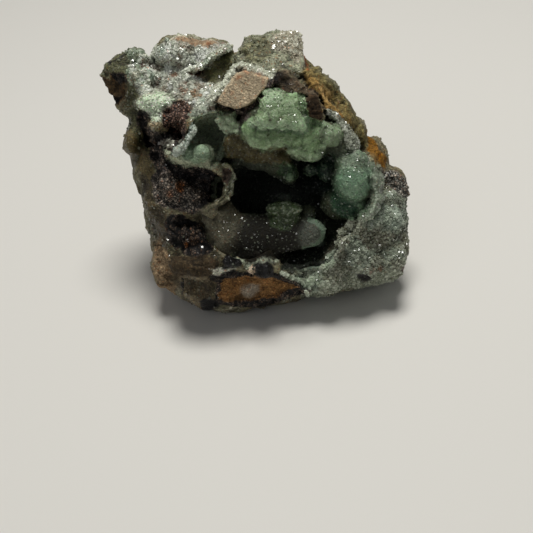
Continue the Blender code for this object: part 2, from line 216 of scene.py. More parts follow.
# What a kind of surface is like: its roughness, glitter and waxiness, how strong its broken
# facets, druse bumps, sponge and grains are, and how many flecks of other minerals it has.
TRAITS = ("rough", "glitter", "wax", "crag", "druse", "sponge", "grain", "fleck")
LOOKS = {
    "stone": (0.85, 0.10, 0.0, 1.0, 0.3, 0.0, 0.5, 0.5),
    "skin": (0.60, 0.50, 0.3, 0.30, 0.45, 0.0, 0.2, 0.50),
    "druse": (0.50, 1.00, 0.3, 0.35, 1.0, 0.0, 0.2, 0.55),
    "lobe": (0.42, 1.00, 0.6, 0.25, 0.8, 0.0, 0.0, 0.35),
    "satin": (0.55, 0.35, 0.3, 0.05, 0.2, 0.0, 0.1, 0.35),
    "wax": (0.42, 0.80, 1.0, 0.0, 0.25, 0.0, 0.0, 0.08),
    "sponge": (0.60, 0.25, 0.0, 0.2, 0.0, 1.0, 0.5, 0.6),
    "grain": (0.90, 0.05, 0.0, 0.1, 0.0, 0.0, 1.0, 0.35),
    "earth": (0.95, 0.00, 0.0, 0.3, 0.0, 0.2, 1.0, 0.45),
    "bead": (0.30, 0.35, 0.0, 0.0, 0.0, 0.0, 0.2, 0.0),
    "dim": (0.75, 0.12, 0.0, 0.0, 0.05, 0.0, 0.1, 0.50),
    "tar": (0.42, 0.40, 0.0, 0.3, 0.0, 0.0, 0.4, 0.1),
}
CRUST_LOOKS = ("wax", "satin", "lobe", "dim")

STONE_TAN = (116, 98, 72)
# Near-black green of the crust deep in the hollow: painted shade.
CAVE_SHADE_GREEN = (16, 26, 18)
BLACK = (24, 21, 19)
TAR = (17, 16, 16)
RUST = (122, 72, 38)

# Spots of stain: centre, radius, colour, strength, lowest height.
SPOTS = [
    (-12.1, 14.3, 0.55, RUST, 0.9, 0),
    (-8.7, 12.9, 0.6, RUST, 0.7, 0),
    (-9.0, 11.5, 0.75, (150, 92, 36), 0.9, 0),
    (-10.6, 11.9, 0.5, RUST, 0.8, 0),
    (-14.0, 17.8, 0.35, BLACK, 1.0, -3),
    (-15.8, 15.9, 0.4, BLACK, 1.0, -3),
    (-15.0, 16.3, 0.4, BLACK, 1.0, -3),
    (-15.4, 13.7, 0.4, BLACK, 1.0, -3),
    (-8.6, 9.3, 0.3, BLACK, 0.9, 0),
    (-9.0, 17.3, 0.35, BLACK, 0.9, -2),
    (-6.8, 18.7, 0.5, RUST, 0.8, -4),
    (-8.6, 15.2, 0.5, RUST, 0.8, 0),
    (-5.7, 10.9, 0.35, (70, 40, 30), 0.9, 0),
    (-13.0, 16.6, 0.4, RUST, 0.7, -3),
    (-11.2, 17.2, 0.5, (120, 96, 74), 0.7, -3),
    (-11.4, -2.3, 0.9, (150, 88, 36), 0.9, -2),
    (-12.9, -3.4, 0.7, (120, 74, 40), 0.7, -2),
    (-10.6, -11.1, 0.5, (158, 92, 34), 0.9, -2),
    (-9.4, -10.0, 1.1, (88, 64, 44), 0.6, -2),
    (16.3, -13.9, 0.4, RUST, 0.7, 0),
    (17.9, -14.9, 0.5, RUST, 0.7, 0),
    (19.1, -14.9, 0.35, RUST, 0.7, 0),
    (-2.4, 14.1, 0.45, (164, 96, 50), 0.6, 5),
    (-1.3, 14.9, 0.4, (150, 92, 60), 0.5, 5),
    (0.6, 14.4, 0.4, (140, 92, 66), 0.5, 5),
    (1.4, 13.6, 0.35, (132, 86, 62), 0.5, 5),
    (-3.6, 12.2, 0.35, (168, 112, 66), 0.5, 5),
    (3.6, 14.2, 0.9, (28, 24, 21), 0.8, 5),
    (5.0, 13.3, 0.5, (34, 29, 25), 0.6, 5),
    (-11.7, 4.0, 0.4, BLACK, 0.8, 5),
    (2.4, 7.9, 0.25, (60, 50, 40), 0.9, 8),
    (3.9, 8.1, 0.35, (96, 96, 60), 0.7, 8),
    (1.9, 5.5, 0.25, (60, 60, 40), 0.7, 8),
    (9.1, 2.9, 0.25, (50, 60, 40), 0.8, 6),
]

# Mottling: from and to which value of the noise it sets in, its size, octaves and seed, how
# strong it is, and its colour.
BARE_MOTTLES = [
    (-0.15, 0.30, 6.0, 3, 73, 0.9, (84, 66, 46)),
    (0.0, 0.35, 4.5, 3, 74, 0.7, (100, 98, 78)),
    (0.2, 0.45, 2.6, 3, 77, 0.6, (132, 92, 52)),
]
TOP_MOTTLES = [
    (0.05, 0.40, 2.6, 3, 91, 0.7, (132, 112, 92)),
    (0.10, 0.45, 2.2, 3, 92, 0.7, (150, 178, 160)),
    (0.10, 0.40, 1.4, 3, 93, 0.85, (238, 240, 234)),
    (0.20, 0.45, 1.0, 3, 90, 0.5, (84, 74, 62)),
    (0.30, 0.42, 1.1, 2, 94, 0.8, (104, 58, 38)),
]
LOBE_MOTTLES = [
    (0.00, 0.40, 3.0, 3, 95, 0.55, (94, 86, 66)),
    (0.10, 0.40, 2.4, 3, 96, 0.6, (142, 156, 138)),
    (0.10, 0.40, 1.7, 3, 97, 0.5, (66, 70, 56)),
]

# Bands along the grain: outline, direction of the grain, width of the bands, their strength.
STREAKS = [
    ("bar", (0.86, -0.51), 0.55, 0.6),
    ("banded", (0.25, -0.97), 0.5, 0.7),
    ("slope", (0.66, -0.75), 0.9, 0.35),
]

# Steps in the relief: outline, height, width of the step, lowest place it reaches.
STEPS = [
    ("section", -0.35, 0.25, -1),
    ("section_rim", 0.25, 0.3, -2),
    ("pocket1", -0.25, 0.4, -2),
    ("pocket2", -0.25, 0.4, -2),
    ("horn_crack", -0.7, 0.3, -3),
    ("horn_break", -0.5, 0.3, -4),
    ("black_vug", -0.4, 0.4, -3),
    ("green_patch", 0.2, 0.6, -1),
    ("crack_left", -0.6, 0.25, -2),
    ("lobe_dark", -0.3, 0.3, 0),
    ("slope_bulge", -1.7, 1.6, -9),
]

# Rings like those of an onion: centre, reach, spacing, height.
RINGS = [
    ((-6.3, -2.1), 1.7, 0.55, 0.06),
    ((-9.7, -10.1), 2.2, 0.70, 0.10),
    ((9.3, 11.5), 4.5, 0.75, 0.07),
]


# ---------------------------------------------------------------- outlines on the stone

# A patch is painted over the patches before it. It has a colour, a look, the softness of its
# edge and the lowest height it reaches.

OUTLINES = {}
PATCHES = []


def outline(text):
    """The points of an outline, from text that gives each as u,v."""
    return np.array([[float(number) for number in pair.split(",")] for pair in text.split()])


def patch(name, colour, look, soft, lowest, text):
    """A patch of paint, with its outline kept under its name for the shapes that share it."""
    OUTLINES[name] = outline(text)
    PATCHES.append((name, colour, look, soft, lowest))


patch("swell_up", (72, 63, 38), "satin", 0.4, -14, """
    -20.6,4.8 -19.2,7.4 -18.3,8.4 -17.4,6.6 -16.7,4.8 -15.9,2.1 -15,0 -15.6,-1.2 -16.7,-0.6 -18,0.6
    -19.6,1.5""")
patch("swell_low", (66, 58, 40), "skin", 0.4, -14, """
    -17.3,-0.3 -15.6,-1.2 -15.4,-4.7 -13.7,-6.1 -13.6,-8.8 -13,-11.9 -12.1,-13.7 -13.4,-13.7
    -14.5,-11.2 -15.6,-8.8 -16.4,-6 -17,-3.5""")
patch("outer_left", (134, 114, 88), "stone", 0.4, -12, """
    -15.6,-10.8 -14.5,-10 -13.3,-13.1 -12.1,-14.6 -12.8,-16.5 -11.9,-19 -11,-20.5 -13.4,-19.3
    -15.1,-17.7 -15.7,-14.9""")
patch("lowleft", (70, 56, 36), "dim", 0.4, -14, """
    -12.7,-12.8 -10.9,-12.5 -9.1,-13.1 -6.6,-12.9 -5.4,-13.7 -6.3,-15.1 -6.9,-16 -6.3,-17.1 -6.7,-19
    -5.7,-20.9 -7.3,-22.1 -9.1,-22.1 -11.1,-20.2 -12.2,-18 -12.5,-15.6""")
# The lower half of lowleft faces down; it is painted lighter to stand in for the light that reaches it:
# painted light.
patch("lowleft_lit", (94, 84, 64), "skin", 0.4, -9, """
    -11.8,-16 -9.1,-15.7 -6.6,-16 -6.7,-19 -5.9,-20.9 -7.3,-22.1 -9.1,-22.1 -11.1,-20.2 -12.2,-18""")
patch("base_rim", (124, 120, 100), "skin", 0.12, -9, """
    -12.2,-17.7 -11.6,-18 -11,-19.6 -9.7,-20.7 -8.2,-21.4 -6.4,-21.6 -5.1,-21 -3,-20.4 -0.8,-20.1
    1.7,-19.8 3.8,-19.6 5.4,-19.2 5.7,-19.6 3.8,-20.1 1.7,-20.2 -0.8,-20.6 -3,-21 -4.8,-21.6 -6.4,-22.1
    -8.5,-21.9 -10.1,-21.3 -11.4,-20.2 -12,-19""")
patch("horn_skin", (78, 78, 54), "skin", 0.4, -6, """
    -23.4,14.3 -22.3,16.3 -19.2,18.5 -16.9,18.4 -15.9,17.5 -16.8,15.7 -16.1,14.4 -17.6,13.1 -17.2,11.2
    -18.3,10.6 -17.3,9.3 -17.6,7.2 -15.8,3.3 -16.9,3.9 -19.1,7 -19.8,9.7 -19.2,11.8 -19.3,13.7
    -20.4,14.5 -22.5,14.1""")
patch("horn_pale", (126, 140, 118), "druse", 0.4, -4, """
    -19.2,17.8 -18,18.2 -16.8,18.1 -16.1,17.2 -16.8,15.7 -16.1,14.3 -17.5,13.1 -18.7,13.4 -19.3,14.3
    -18.9,16""")
patch("left_hill", (174, 169, 141), "druse", 0.4, -7, """
    -14.1,18.5 -12.6,19.8 -10.7,20.5 -7.3,20 -5.5,19.4 -3.4,18.8 -4,18.1 -6.1,17.1 -8.2,16.3 -11.2,15.1
    -13.4,15.7 -15.7,15.7 -16.2,16.9""")
patch("plateau", (210, 214, 200), "druse", 0.3, -3, """
    -17.3,16.9 -14.1,18.9 -11,20.2 -9.6,19.8 -5.5,19.3 -3.4,18.6 -4,18.1 -6.1,17.1 -7.3,16.2 -10,15
    -8.8,14 -6.4,13.1 -5.8,11.9 -5.4,9.6 -8.3,9.1 -9.7,10.3 -11.8,11.2 -13.5,12.1 -15.7,11.9 -17.2,11.3
    -17.8,13.1 -16.3,14.4 -17.1,15.7""")
patch("brown_top", (142, 122, 98), "grain", 0.2, -1, """
    -12.3,19.5 -11,20.2 -9.3,19.8 -5.8,19.4 -5.3,18.8 -7.4,18.4 -9.7,18.8""")
patch("green_patch", (196, 206, 184), "wax", 0.35, -1, """
    -18.1,10.6 -17.4,10.9 -16.5,11.4 -14.9,12 -13.4,11.9 -12,11.1 -11.9,10.3 -13.4,9.7 -14,9 -14.2,8.1
    -14.1,7.5 -16.2,7.5 -16,8.8 -17.1,9.5""")
patch("black_vug", (36, 31, 28), "sponge", 0.15, -4, """
    -17.7,9.3 -16.2,9.1 -15.9,7.6 -16.4,6.7 -15.5,5.9 -14.1,6 -12.6,6.1 -11.2,5.6 -10.4,5.8 -10.9,4.8
    -12.7,4.3 -13.9,3 -13.2,1.8 -11.9,1.2 -12.7,0.3 -14.4,0.6 -15.7,1.8 -16.1,3.9 -16.9,5.4 -17.6,7.2""")
patch("black_fill", (66, 60, 56), "sponge", 0.15, 0, """
    -17.3,9.1 -15.9,8.8 -15.5,6.1 -13.7,5.8 -11.1,5.4 -10.4,4.9 -11.9,3.9 -12.8,2.4 -12.6,0.9 -13.5,-0
    -14.7,0.3 -15.8,3 -16.7,6.3""")
patch("gossan", (108, 84, 72), "sponge", 0.15, 0, """
    -11.9,10.6 -11,10.8 -9.7,10 -9.5,9 -10.2,7.5 -10.4,6 -11.2,5.5 -12.2,6.1 -13.5,6.6 -14.1,7.6
    -14.1,8.5 -13.4,9.6""")
patch("olive_knob", (128, 116, 92), "skin", 0.1, 2, """
    -16.2,7.6 -15.6,7.8 -14.2,7.6 -13.8,6.9 -14.2,6.3 -15.3,6.3 -16.2,6.7""")
patch("horn_break", (78, 62, 40), "stone", 0.1, -4, """
    -21.4,14.5 -20.8,14.7 -19.4,14.6 -19.6,13.5 -19.2,12.7 -19.3,11.7 -20,10.6 -20.3,9.8 -21.2,10
    -22.3,10.9 -23,12.1 -23.6,13.5 -23.5,14.4 -22.5,14.1 -21.7,13.5 -21.6,14.1""")
patch("horn_black", BLACK, "sponge", 0.1, -4, """
    -21.4,14.5 -20.4,14.8 -19.2,14.8 -19.1,13.7 -20.2,12.8 -21.2,13.7""")
patch("horn_black2", BLACK, "sponge", 0.1, -4, """
    -22,11.2 -20.2,11.3 -20.7,10.1 -21.6,10.5""")
patch("horn_crack", BLACK, "tar", 0.08, -3, """
    -22.4,16 -21.7,16.1 -20.9,16.5 -20.2,16.9 -19.3,17.3 -19.5,17.5 -20.1,17.3 -20.9,16.8 -21.7,16.5""")
patch("notch", (72, 72, 42), "satin", 0.2, -4, """
    -7.3,15.7 -6.8,17.1 -4.9,17.6 -3.3,18.3 -2.7,16.6 -3.4,15.3 -4,14.1 -5.4,12.2 -6.6,13.4 -7.5,14.4""")
patch("notch_under", (74, 40, 24), "sponge", 0.12, 0, """
    -10,14.9 -7.6,15.6 -7.7,14.7 -8.8,14.1 -9.7,14.4""")
patch("notch_rim", (182, 188, 168), "druse", 0.1, 1.5, """
    -10,15 -8.5,15.7 -7.3,16.6 -7.1,17.3 -5.5,18.2 -3.4,18.6 -3.3,18.1 -4.9,17.4 -6.4,16.5 -7.1,15.6
    -8.8,14.8""")
patch("hill", (134, 136, 114), "skin", 0.3, -6, """
    -2.4,18.8 -1.4,20 -0.1,20.7 1.7,21.1 4.4,21.3 5.8,21.2 7.2,21.2 7.3,19.1 7.7,16.8 7.7,15.5 6.5,14.9
    5.3,15.2 3.9,15.5 2.6,14.3 0.5,14.7 -1.2,15.2 -2.8,15.1 -3.3,16.6""")
patch("hill_sparkle", (174, 166, 146), "druse", 0.35, -4, """
    2.3,19.8 4.4,21 7.2,21.1 7.3,19.1 7.5,17.2 6.2,16.3 4.8,17.8 2.6,18.1""")
patch("hill_dome", (104, 103, 78), "skin", 0.4, -3, """
    -2.1,19 -0.4,20 1.7,20 2.6,18.7 2.3,17.2 0.5,16.3 -1.5,16.9""")
patch("slope", (106, 98, 62), "stone", 0.3, -5, """
    7.5,16.9 9.5,15.2 11.4,13.3 13.5,11.2 14.9,9.1 16.8,6.2 17.6,5.1 17.1,3.3 15.9,3.6 15.3,5.1 14,7.2
    12.8,9 11.3,11.1 9.5,13.7""")
patch("silver", (136, 141, 128), "druse", 0.2, 0, """
    10.4,8.8 11.6,8.2 13.3,7.5 14.4,6.8 15.4,5.4 16.1,3.5 14.7,2.7 13.9,3.3 13.6,4.5 13.3,6 12.2,7.2""")
patch("limonite", (146, 118, 66), "earth", 0.2, -3, """
    7.4,15.5 8,15.2 8.5,14.6 9.4,13.8 9.9,12.5 10.8,11.3 11.9,10 13.1,8.6 13.7,7.3 12.2,7.5 11.2,8.5
    10.3,9 10.1,10.7 9.4,11.7 7.9,12.6 7.4,13.8""")
patch("limonite2", (128, 112, 68), "earth", 0.4, -4, """
    7.2,15.2 8.3,15.3 9.5,14.6 10.5,13.4 11.7,11.9 13,10.3 14.2,8.7 15,7.2 15.3,6.2 14.5,6.2 13.6,7.3
    13.7,8.1 12.8,9.3 11.8,10.3 10.7,11.5 9.8,12.8 8.6,14.2 7.5,14.4""")
patch("limo_bright", (178, 148, 94), "earth", 0.3, -3, """
    9.3,13.1 10.4,12.8 11.6,11.4 11.3,10.5 10.4,10.8 9.6,11.8""")
patch("edge_red", (112, 70, 42), "stone", 0.1, -6, """
    7.1,21 7.4,21 7.6,18.8 7.8,16.9 8.1,15.5 7.7,15.2 7.4,16.6 7.2,18.8""")
patch("orange", (122, 84, 22), "earth", 0.1, -6, """
    16.8,6 17.6,5.4 18.4,4.2 19.2,3.5 19.6,2.8 20.3,2 20,0.9 19.2,0.5 18.4,1.3 17.3,2.2 17,3.2 17.3,4.1""")
patch("oxide", (150, 148, 138), "sponge", 0.2, -8, """
    19,0.5 19.9,0.3 20.4,0.1 21.6,-0.1 22.5,-0.6 23.4,-1.4 23.8,-2.6 23.6,-3.9 22.8,-4.1 22.2,-3.5
    21.4,-3.1 20.4,-2.3 19.5,-2.2 19,-1""")
patch("facet_around", (206, 208, 190), "druse", 0.5, 5, """
    -7.6,10.4 -6.6,11.8 -5.5,13.1 -4.3,14.7 -3.4,15.8 -2.1,16.3 -1,16 0.2,15.8 1.2,15.2 2.4,15 3.3,14.9
    2.7,14.2 2.2,14 0.5,14.5 -1.3,15 -2.8,14.9 -4.2,13 -5.8,10.2 -6.9,9.7""")
patch("facet", (158, 143, 118), "grain", 0.08, 5, """
    -5.9,10.3 -4.3,13.1 -2.9,15 -1.3,15.2 0.5,14.6 2.3,14.1 2,12.6 0.9,11.6 0.2,10.6 -1.1,9.8 -2.5,9.3
    -4.2,9.7""")
patch("ridge_right", (100, 102, 88), "druse", 0.2, 1, """
    10.1,9.6 12.1,9 14.2,7 15.6,4.8 15.9,3.3 14.7,2.6 13.6,3.3 13.5,5.1 12.7,6.9 11.3,8.1""")
patch("recess", (138, 150, 126), "satin", 0.3, -6, """
    -9.5,8.2 -8.7,8.5 -7.1,9 -5.4,9.1 -4.8,8.1 -3.8,6.7 -4.4,5.2 -5,3.6 -4.7,1.8 -6.2,0.9 -6.9,3.6
    -8.3,4.3 -9.5,4.1 -10.4,3.6 -9.8,5.1 -9.2,6.9""")
patch("recess_rim", (150, 160, 142), "druse", 0.1, 7, """
    -9.8,8.5 -9.2,9.2 -7.2,9.6 -5.4,9.6 -5.4,9.1 -7.2,8.8 -8.7,8.4""")
patch("recess_ledge", (128, 148, 122), "satin", 0.2, 3, """
    -13.8,3.3 -12.6,2.8 -11.3,3.2 -9.8,4.3 -8.3,4.3 -7.1,3.8 -6.5,2.1 -6.7,0.8 -9.5,0.8 -11.8,1.1
    -12.8,1.8""")
patch("ledge_pale", (162, 168, 142), "satin", 0.3, 3, """
    -13.9,3.4 -12.7,2.8 -11,2.1 -9.8,1.7 -8.3,1.1 -6.4,2 -6.4,0.5 -9.5,0.5 -11.8,0.8 -13.3,1.7""")
patch("grey_bit", (136, 128, 118), "druse", 0.2, 0, """
    -14.5,4.3 -13.7,5 -12.7,5.2 -12.1,4.6 -12.4,3.8 -13.4,3.5""")
patch("pocket1", (62, 58, 57), "sponge", 0.1, -2, """
    -15.7,-1 -15,-0 -14.3,1.2 -13.2,1.9 -12.2,1.1 -9.9,0.9 -7.7,0.7 -5.9,-0.1 -4.6,-1.4 -4.5,-2.2
    -5.3,-3.5 -6.3,-4.5 -7.2,-5 -7.7,-5.7 -9.1,-6.3 -10.9,-6.1 -11.7,-5.4 -13.1,-5.4 -14.2,-5.5
    -15.2,-4.5 -15.5,-2.8""")
patch("sponge", (118, 110, 100), "sponge", 0.15, -2, """
    -15.5,-1.1 -14.8,-0.2 -13.2,-0.1 -11.4,-0.7 -10.2,-1.4 -8.3,-1.1 -7.6,-2.7 -8.1,-4.4 -9.1,-5.6
    -10.5,-5.9 -11.7,-5.1 -13.1,-5.2 -14.2,-5.4 -15.1,-4.5 -15.4,-2.8""")
patch("pocket2", (22, 19, 18), "sponge", 0.1, -2, """
    -13.2,-6.7 -12.3,-6.2 -11.1,-6.4 -9.9,-7 -8.4,-8 -7.1,-9.3 -6.4,-10.6 -6.4,-11.9 -7.2,-12.7
    -8.6,-13.1 -9.9,-12.7 -11.1,-12.3 -12.3,-11.7 -13.1,-10.6 -13.6,-9.7 -13.9,-8.7 -13.7,-7.4""")
patch("rim1", (76, 75, 57), "skin", 0.1, 6, """
    -5.1,1.4 -4.5,1.6 -3.9,1.4 -3.4,0.9 -3,-0 -3.1,-1.5 -3.6,-2.9 -4.3,-4 -5.5,-4.8 -6.6,-5.4 -7.6,-5.8
    -8.5,-6.1 -8.5,-5.8 -7.8,-5.4 -6.7,-4.8 -5.8,-4.2 -5.1,-3.4 -4.8,-2.3 -4.9,-1.2 -5.2,-0.2 -5.3,0.6""")
patch("rim1_core", (52, 40, 32), "stone", 0.1, 6, """
    -4.9,0.5 -4.4,0.9 -3.9,0.6 -3.6,-0.2 -3.6,-1.2 -4.3,-2.1 -4.8,-1.5""")
patch("white_ridge", (160, 174, 164), "druse", 0.1, 7, """
    -9.3,7.4 -8.5,6.3 -9.7,4.3 -10.9,2.8 -11.8,2.3 -12.7,2.7 -12.3,3.6 -11.1,4.5 -10,5.9""")
patch("hollow_left", (52, 58, 50), "satin", 1.2, -9, """
    -2.9,1.8 0.5,0.9 3.8,-0.9 6.8,-2.4 7.8,-4.2 5.3,-4.8 2,-5.1 -0.8,-5.8 -2.6,-5.1 -3.8,-3.6""")
# The tongue is dark olive-brown, painted darker still for the shadow of the ledges above it: painted
# shadow.
patch("tongue", (20, 17, 6), "dim", 0.4, -2, """
    -9,-6.2 -6.6,-4.8 -4.1,-4.1 -2.9,-5.4 -1.8,-6.4 1.1,-6.2 2.3,-7.6 6.9,-7.4 8.3,-7 9.4,-7.2
    10.4,-8.1 10.8,-9.3 10.6,-10.6 9.7,-11.4 8.3,-11.7 7.5,-12 6.4,-12.6 4.8,-13.1 2.3,-13.4 0.5,-13.7
    -0.8,-14.3 -1.9,-13.7 -2.9,-12.5 -4.5,-12.8 -6,-12.2 -6.7,-10""")
patch("left_wall", (90, 86, 68), "satin", 1, 3, """
    -8.8,-6.2 -7.6,-5.4 -6.4,-5 -5,-4.7 -3.8,-4.1 -2.9,-5.4 -1.8,-6.7 -2.9,-8.8 -3.4,-11.9 -4.2,-12.8
    -5.8,-12.8 -6.4,-10.8 -7.2,-9.1""")
patch("glow", (18, 44, 28), "wax", 1.2, -3, """
    7.7,2.1 9.5,2.7 11.4,3 12.6,2.4 12.3,0.9 12,-0.9 12.3,-2.7 11.4,-3.3 9.9,-3 8.4,-2.1 7.3,-0.6
    7.1,0.9""")
patch("tongue_cap", (50, 66, 32), "lobe", 0.25, 2, """
    1.5,-6.1 1.8,-5.1 2.7,-4.6 4.4,-4.4 5.9,-4.7 6.9,-5.5 7.2,-6.4 6.6,-7.4 5.6,-8.5 4.3,-8.8 2.9,-8.2
    2,-7.1""")
# The tongue's tip is grey-green, painted lighter where light falls on it: painted light.
patch("tongue_lit_tip", (82, 86, 76), "satin", 0.8, 0, """
    7.3,-7.4 8.3,-7.1 9.4,-7.3 10.4,-8.1 10.8,-9.3 10.6,-10.6 9.7,-11.4 8.3,-11.7 7,-11.3 6.7,-9.7""")
patch("tongue_rim", (120, 140, 120), "wax", 0.25, -1, """
    8.1,-6.9 9.4,-7.1 10.5,-8 10.9,-9.3 10.7,-10.7 9.8,-11.7 8.3,-11.9 7.5,-12.2 7.2,-11.5 8.2,-11.2
    9.3,-10.8 9.9,-10.2 10.1,-9.3 9.8,-8.4 9,-7.8 8.1,-7.5""")
patch("lobe", (97, 95, 77), "lobe", 0.25, -9, """
    18,-5 19.5,-2.7 21.3,-3.2 22.7,-4.2 23.4,-6.1 23.1,-7.5 24,-8.5 23.6,-11 24.1,-12.9 23.4,-14.1
    23.2,-16.6 21.6,-17.3 20,-17.6 16,-17.9 14.2,-17.5 12.1,-18.4 9.7,-19.2 8.4,-20 7.5,-19.6 6.9,-19
    8.3,-18.4 6.9,-17.1 5.4,-16.1 4,-15.3 6.9,-15.2 9.4,-15.1 9.8,-13.7 10.9,-11.9 12.4,-9.7 13.9,-7.4
    15.7,-6.1""")
patch("lobe_top", (132, 145, 131), "lobe", 0.8, -9, """
    18,-5 19.5,-2.7 21.3,-3.2 22.7,-4.2 23.4,-6.1 23.1,-8.1 21.4,-9.1 19.1,-8.5 17.3,-7.6 16.9,-6.2""")
patch("lobe_low", (134, 139, 120), "lobe", 0.8, -9, """
    6.3,-15.9 9.2,-15.4 12.3,-14.7 16.1,-15 19.2,-13.4 23.5,-13.1 23.6,-17.2 20,-17.9 16,-18.3
    14.2,-17.8 12.1,-18.7 9.7,-19.5 8.3,-19.3 6.9,-17.8""")
patch("bridge", (116, 126, 108), "lobe", 0.6, 2, """
    14.7,3.5 16.2,2.9 17.8,1.4 19.5,-0.5 19.9,-1.8 19.2,-2.7 20,-3.9 19.1,-5.8 17.9,-7.4 16.8,-7.9
    16.6,-6.7 17.2,-5.2 17.7,-3 16.9,-0.6 15,1.5""")
patch("lobe_dark", BLACK, "tar", 0.2, 1, """
    15.5,-15.6 17.5,-15.5 17.9,-16.5 16.5,-16.9 15.4,-16.5""")
patch("lobe_brown", (70, 48, 38), "tar", 0.2, -4, """
    22.4,-14.1 23.4,-13.8 23.3,-16.7 22.4,-16.7""")
patch("slot", (40, 44, 36), "satin", 0.2, -4, """
    4.1,-15 4.1,-13.6 5.7,-12.7 8,-11.7 10.4,-11 11,-11.7 10.4,-13 9.9,-13.9 9.6,-14.9 7.3,-15
    5.7,-15.2""")
patch("lip_right", (150, 164, 140), "lobe", 0.4, -3, """
    4,-15.6 5.7,-15.7 7.8,-15.9 9.7,-15.4 10.6,-14.1 11.6,-12.4 12.6,-13.1 12,-14.7 10.4,-16.5
    9.2,-18.1 8.3,-19 6.9,-17.6 5.4,-16.4""")
patch("ridge_thin", (140, 150, 128), "druse", 0.12, -2, """
    4,-15.1 5.7,-16 7.1,-17.1 8.3,-18 8.9,-18.7 8.6,-19.6 7.7,-20 6.9,-19.5 7.8,-19.3 7.9,-18.6
    6.8,-17.7 5.4,-16.7 4,-15.7""")
patch("wedge", (54, 44, 29), "stone", 0.15, 0, """
    -12.7,-12.8 -10.6,-12.6 -8.4,-12.8 -7.2,-12.5 -6,-13.1 -5.5,-14.3 -5.7,-15.3 -6.6,-15.9 -8.5,-16
    -10.8,-15.9 -12.8,-15.4 -13.4,-13.7""")
patch("section_rim", (26, 24, 23), "sponge", 0.1, -2, """
    -6.9,-15.7 -5.1,-15.4 -3.4,-15 -1.9,-15.2 -0.3,-15.6 1.1,-15.3 2.6,-15 4.4,-15.7 6,-16.4 7.4,-17.4
    8.6,-18.5 7.4,-18.6 5.8,-19.2 4.3,-19.8 2.6,-20.3 0.7,-20.9 -1.4,-20.7 -3.3,-20.7 -5.7,-20.4
    -6.3,-19.6 -6.2,-18.1 -5.9,-17 -6.8,-16.5""")
patch("section", (126, 92, 54), "earth", 0.08, 0, """
    -5.2,-16.4 -4.2,-16.2 -2.1,-16 -1.5,-15.8 -0.6,-16.1 1.9,-16 3.5,-16.6 5.4,-16.9 6.7,-17.6 5.7,-18
    4.3,-18.4 3.5,-19 1.6,-19.3 -0.6,-19.7 -2.8,-19.9 -4,-19.8 -5.9,-19.5 -5.8,-18.8 -5.3,-18""")
patch("section_grey", (128, 118, 104), "grain", 0.35, 0, """
    -2.2,-17.7 -0.6,-17.1 0.8,-17.2 0.5,-18.3 -0.9,-19.1 -2.2,-19""")
patch("lip_low", (148, 154, 134), "skin", 0.1, 5, """
    -3.1,-12.4 -2.1,-13.1 -1.4,-13.9 -0.6,-13.9 0.1,-13.7 1,-13.2 2.3,-13.1 3.8,-13.2 3.8,-13.8
    2.3,-13.7 1.1,-13.9 0.2,-14.5 -0.5,-15 -1.4,-14.7 -2.3,-14 -3.2,-13""")
patch("lip_left", (172, 172, 158), "skin", 0.1, 4, """
    -6.6,-15 -5.3,-14.6 -4.3,-14.6 -3.2,-14.2 -2.9,-14.8 -4.3,-15.3 -5.6,-15.7 -6.5,-15.6""")
patch("cream", (210, 188, 164), "skin", 0.1, 4, """
    -1.2,-15 -0.8,-14.6 -0.2,-14.6 0,-15.1 -0.3,-15.7 -0.9,-15.6""")
patch("bead1", (14, 13, 13), "bead", 0.08, 6, """
    -5.2,-13.7 -4.9,-12.9 -4.2,-12.5 -3.5,-12.6 -2.9,-13 -2.3,-13.3 -2,-13.9 -2.2,-14.5 -2.9,-14.7
    -3.6,-14.7 -4.2,-14.8 -4.9,-14.6""")
patch("bead2", (18, 17, 17), "bead", 0.08, 6, """
    -0.4,-14.7 -0.1,-14 0.9,-13.7 1.8,-13.7 2.5,-14 2.9,-14.8 3.1,-15.9 2,-16.2 0.7,-16.2 -0.3,-16
    -0,-15.3""")
patch("blob_low", TAR, "tar", 0.15, -2, """
    -8.5,-19.9 -7.6,-19.4 -6.3,-19.6 -5.4,-20.1 -5.6,-20.9 -6.8,-21.5 -8.2,-21.3""")
patch("crack_left", BLACK, "tar", 0.1, -9, """
    -11.5,-16 -10.9,-16.1 -10.9,-18.2 -11.3,-18.7 -11.5,-17.4""")
patch("mound", (76, 69, 40), "satin", 0.15, 2, """
    -4.9,4.7 -3.9,5.9 -2.1,5.8 -0.9,4.7 1.2,3.5 4.1,3.8 5.3,2.9 5.5,1.8 5.6,0.9 4.4,1 3.2,1.4 1.1,1.2
    -1.1,1.3 -2.9,2 -4.4,2.1""")
patch("drip", (150, 166, 134), "wax", 0.12, 6, """
    -5.4,9 -3,8.8 -2.5,7.3 -2.5,5.9 -3.7,6.3 -4.9,7.3""")
patch("tier_low", (134, 160, 116), "wax", 0.1, 5.5, """
    2.3,4.8 5.3,5.4 8.3,5.7 11,4.8 10.4,3.9 10,3.3 9.6,2.3 8.8,1.6 7.9,1.9 7.2,2.3 5.8,2.5 5.1,3.1
    3.8,3.8""")
patch("tier_mid", (126, 152, 108), "wax", 0.1, 6.5, """
    -2.1,6.8 -1.3,8.1 1.1,8.4 4.2,8.4 4.8,11.8 6.8,11.6 7.7,11.2 8.1,10.2 8.4,8.8 9.4,7.8 10.1,7.5
    11.4,7.3 10.9,5.6 10.1,4.1 9.1,3.3 6.8,3.3 5.1,3.6 4.1,4.1 2.7,3.8 1.3,3.5 -0.1,3.8 -0.9,4.5
    -1.8,5.5""")
patch("dome_right", (124, 141, 110), "wax", 0.15, 5, """
    9.7,6.4 10.3,7 11.3,7.4 12.2,7.3 13,6.3 13.2,5.3 12.7,4.4 12,3.8 11.1,3.9 10.3,4.5 9.7,5.4""")
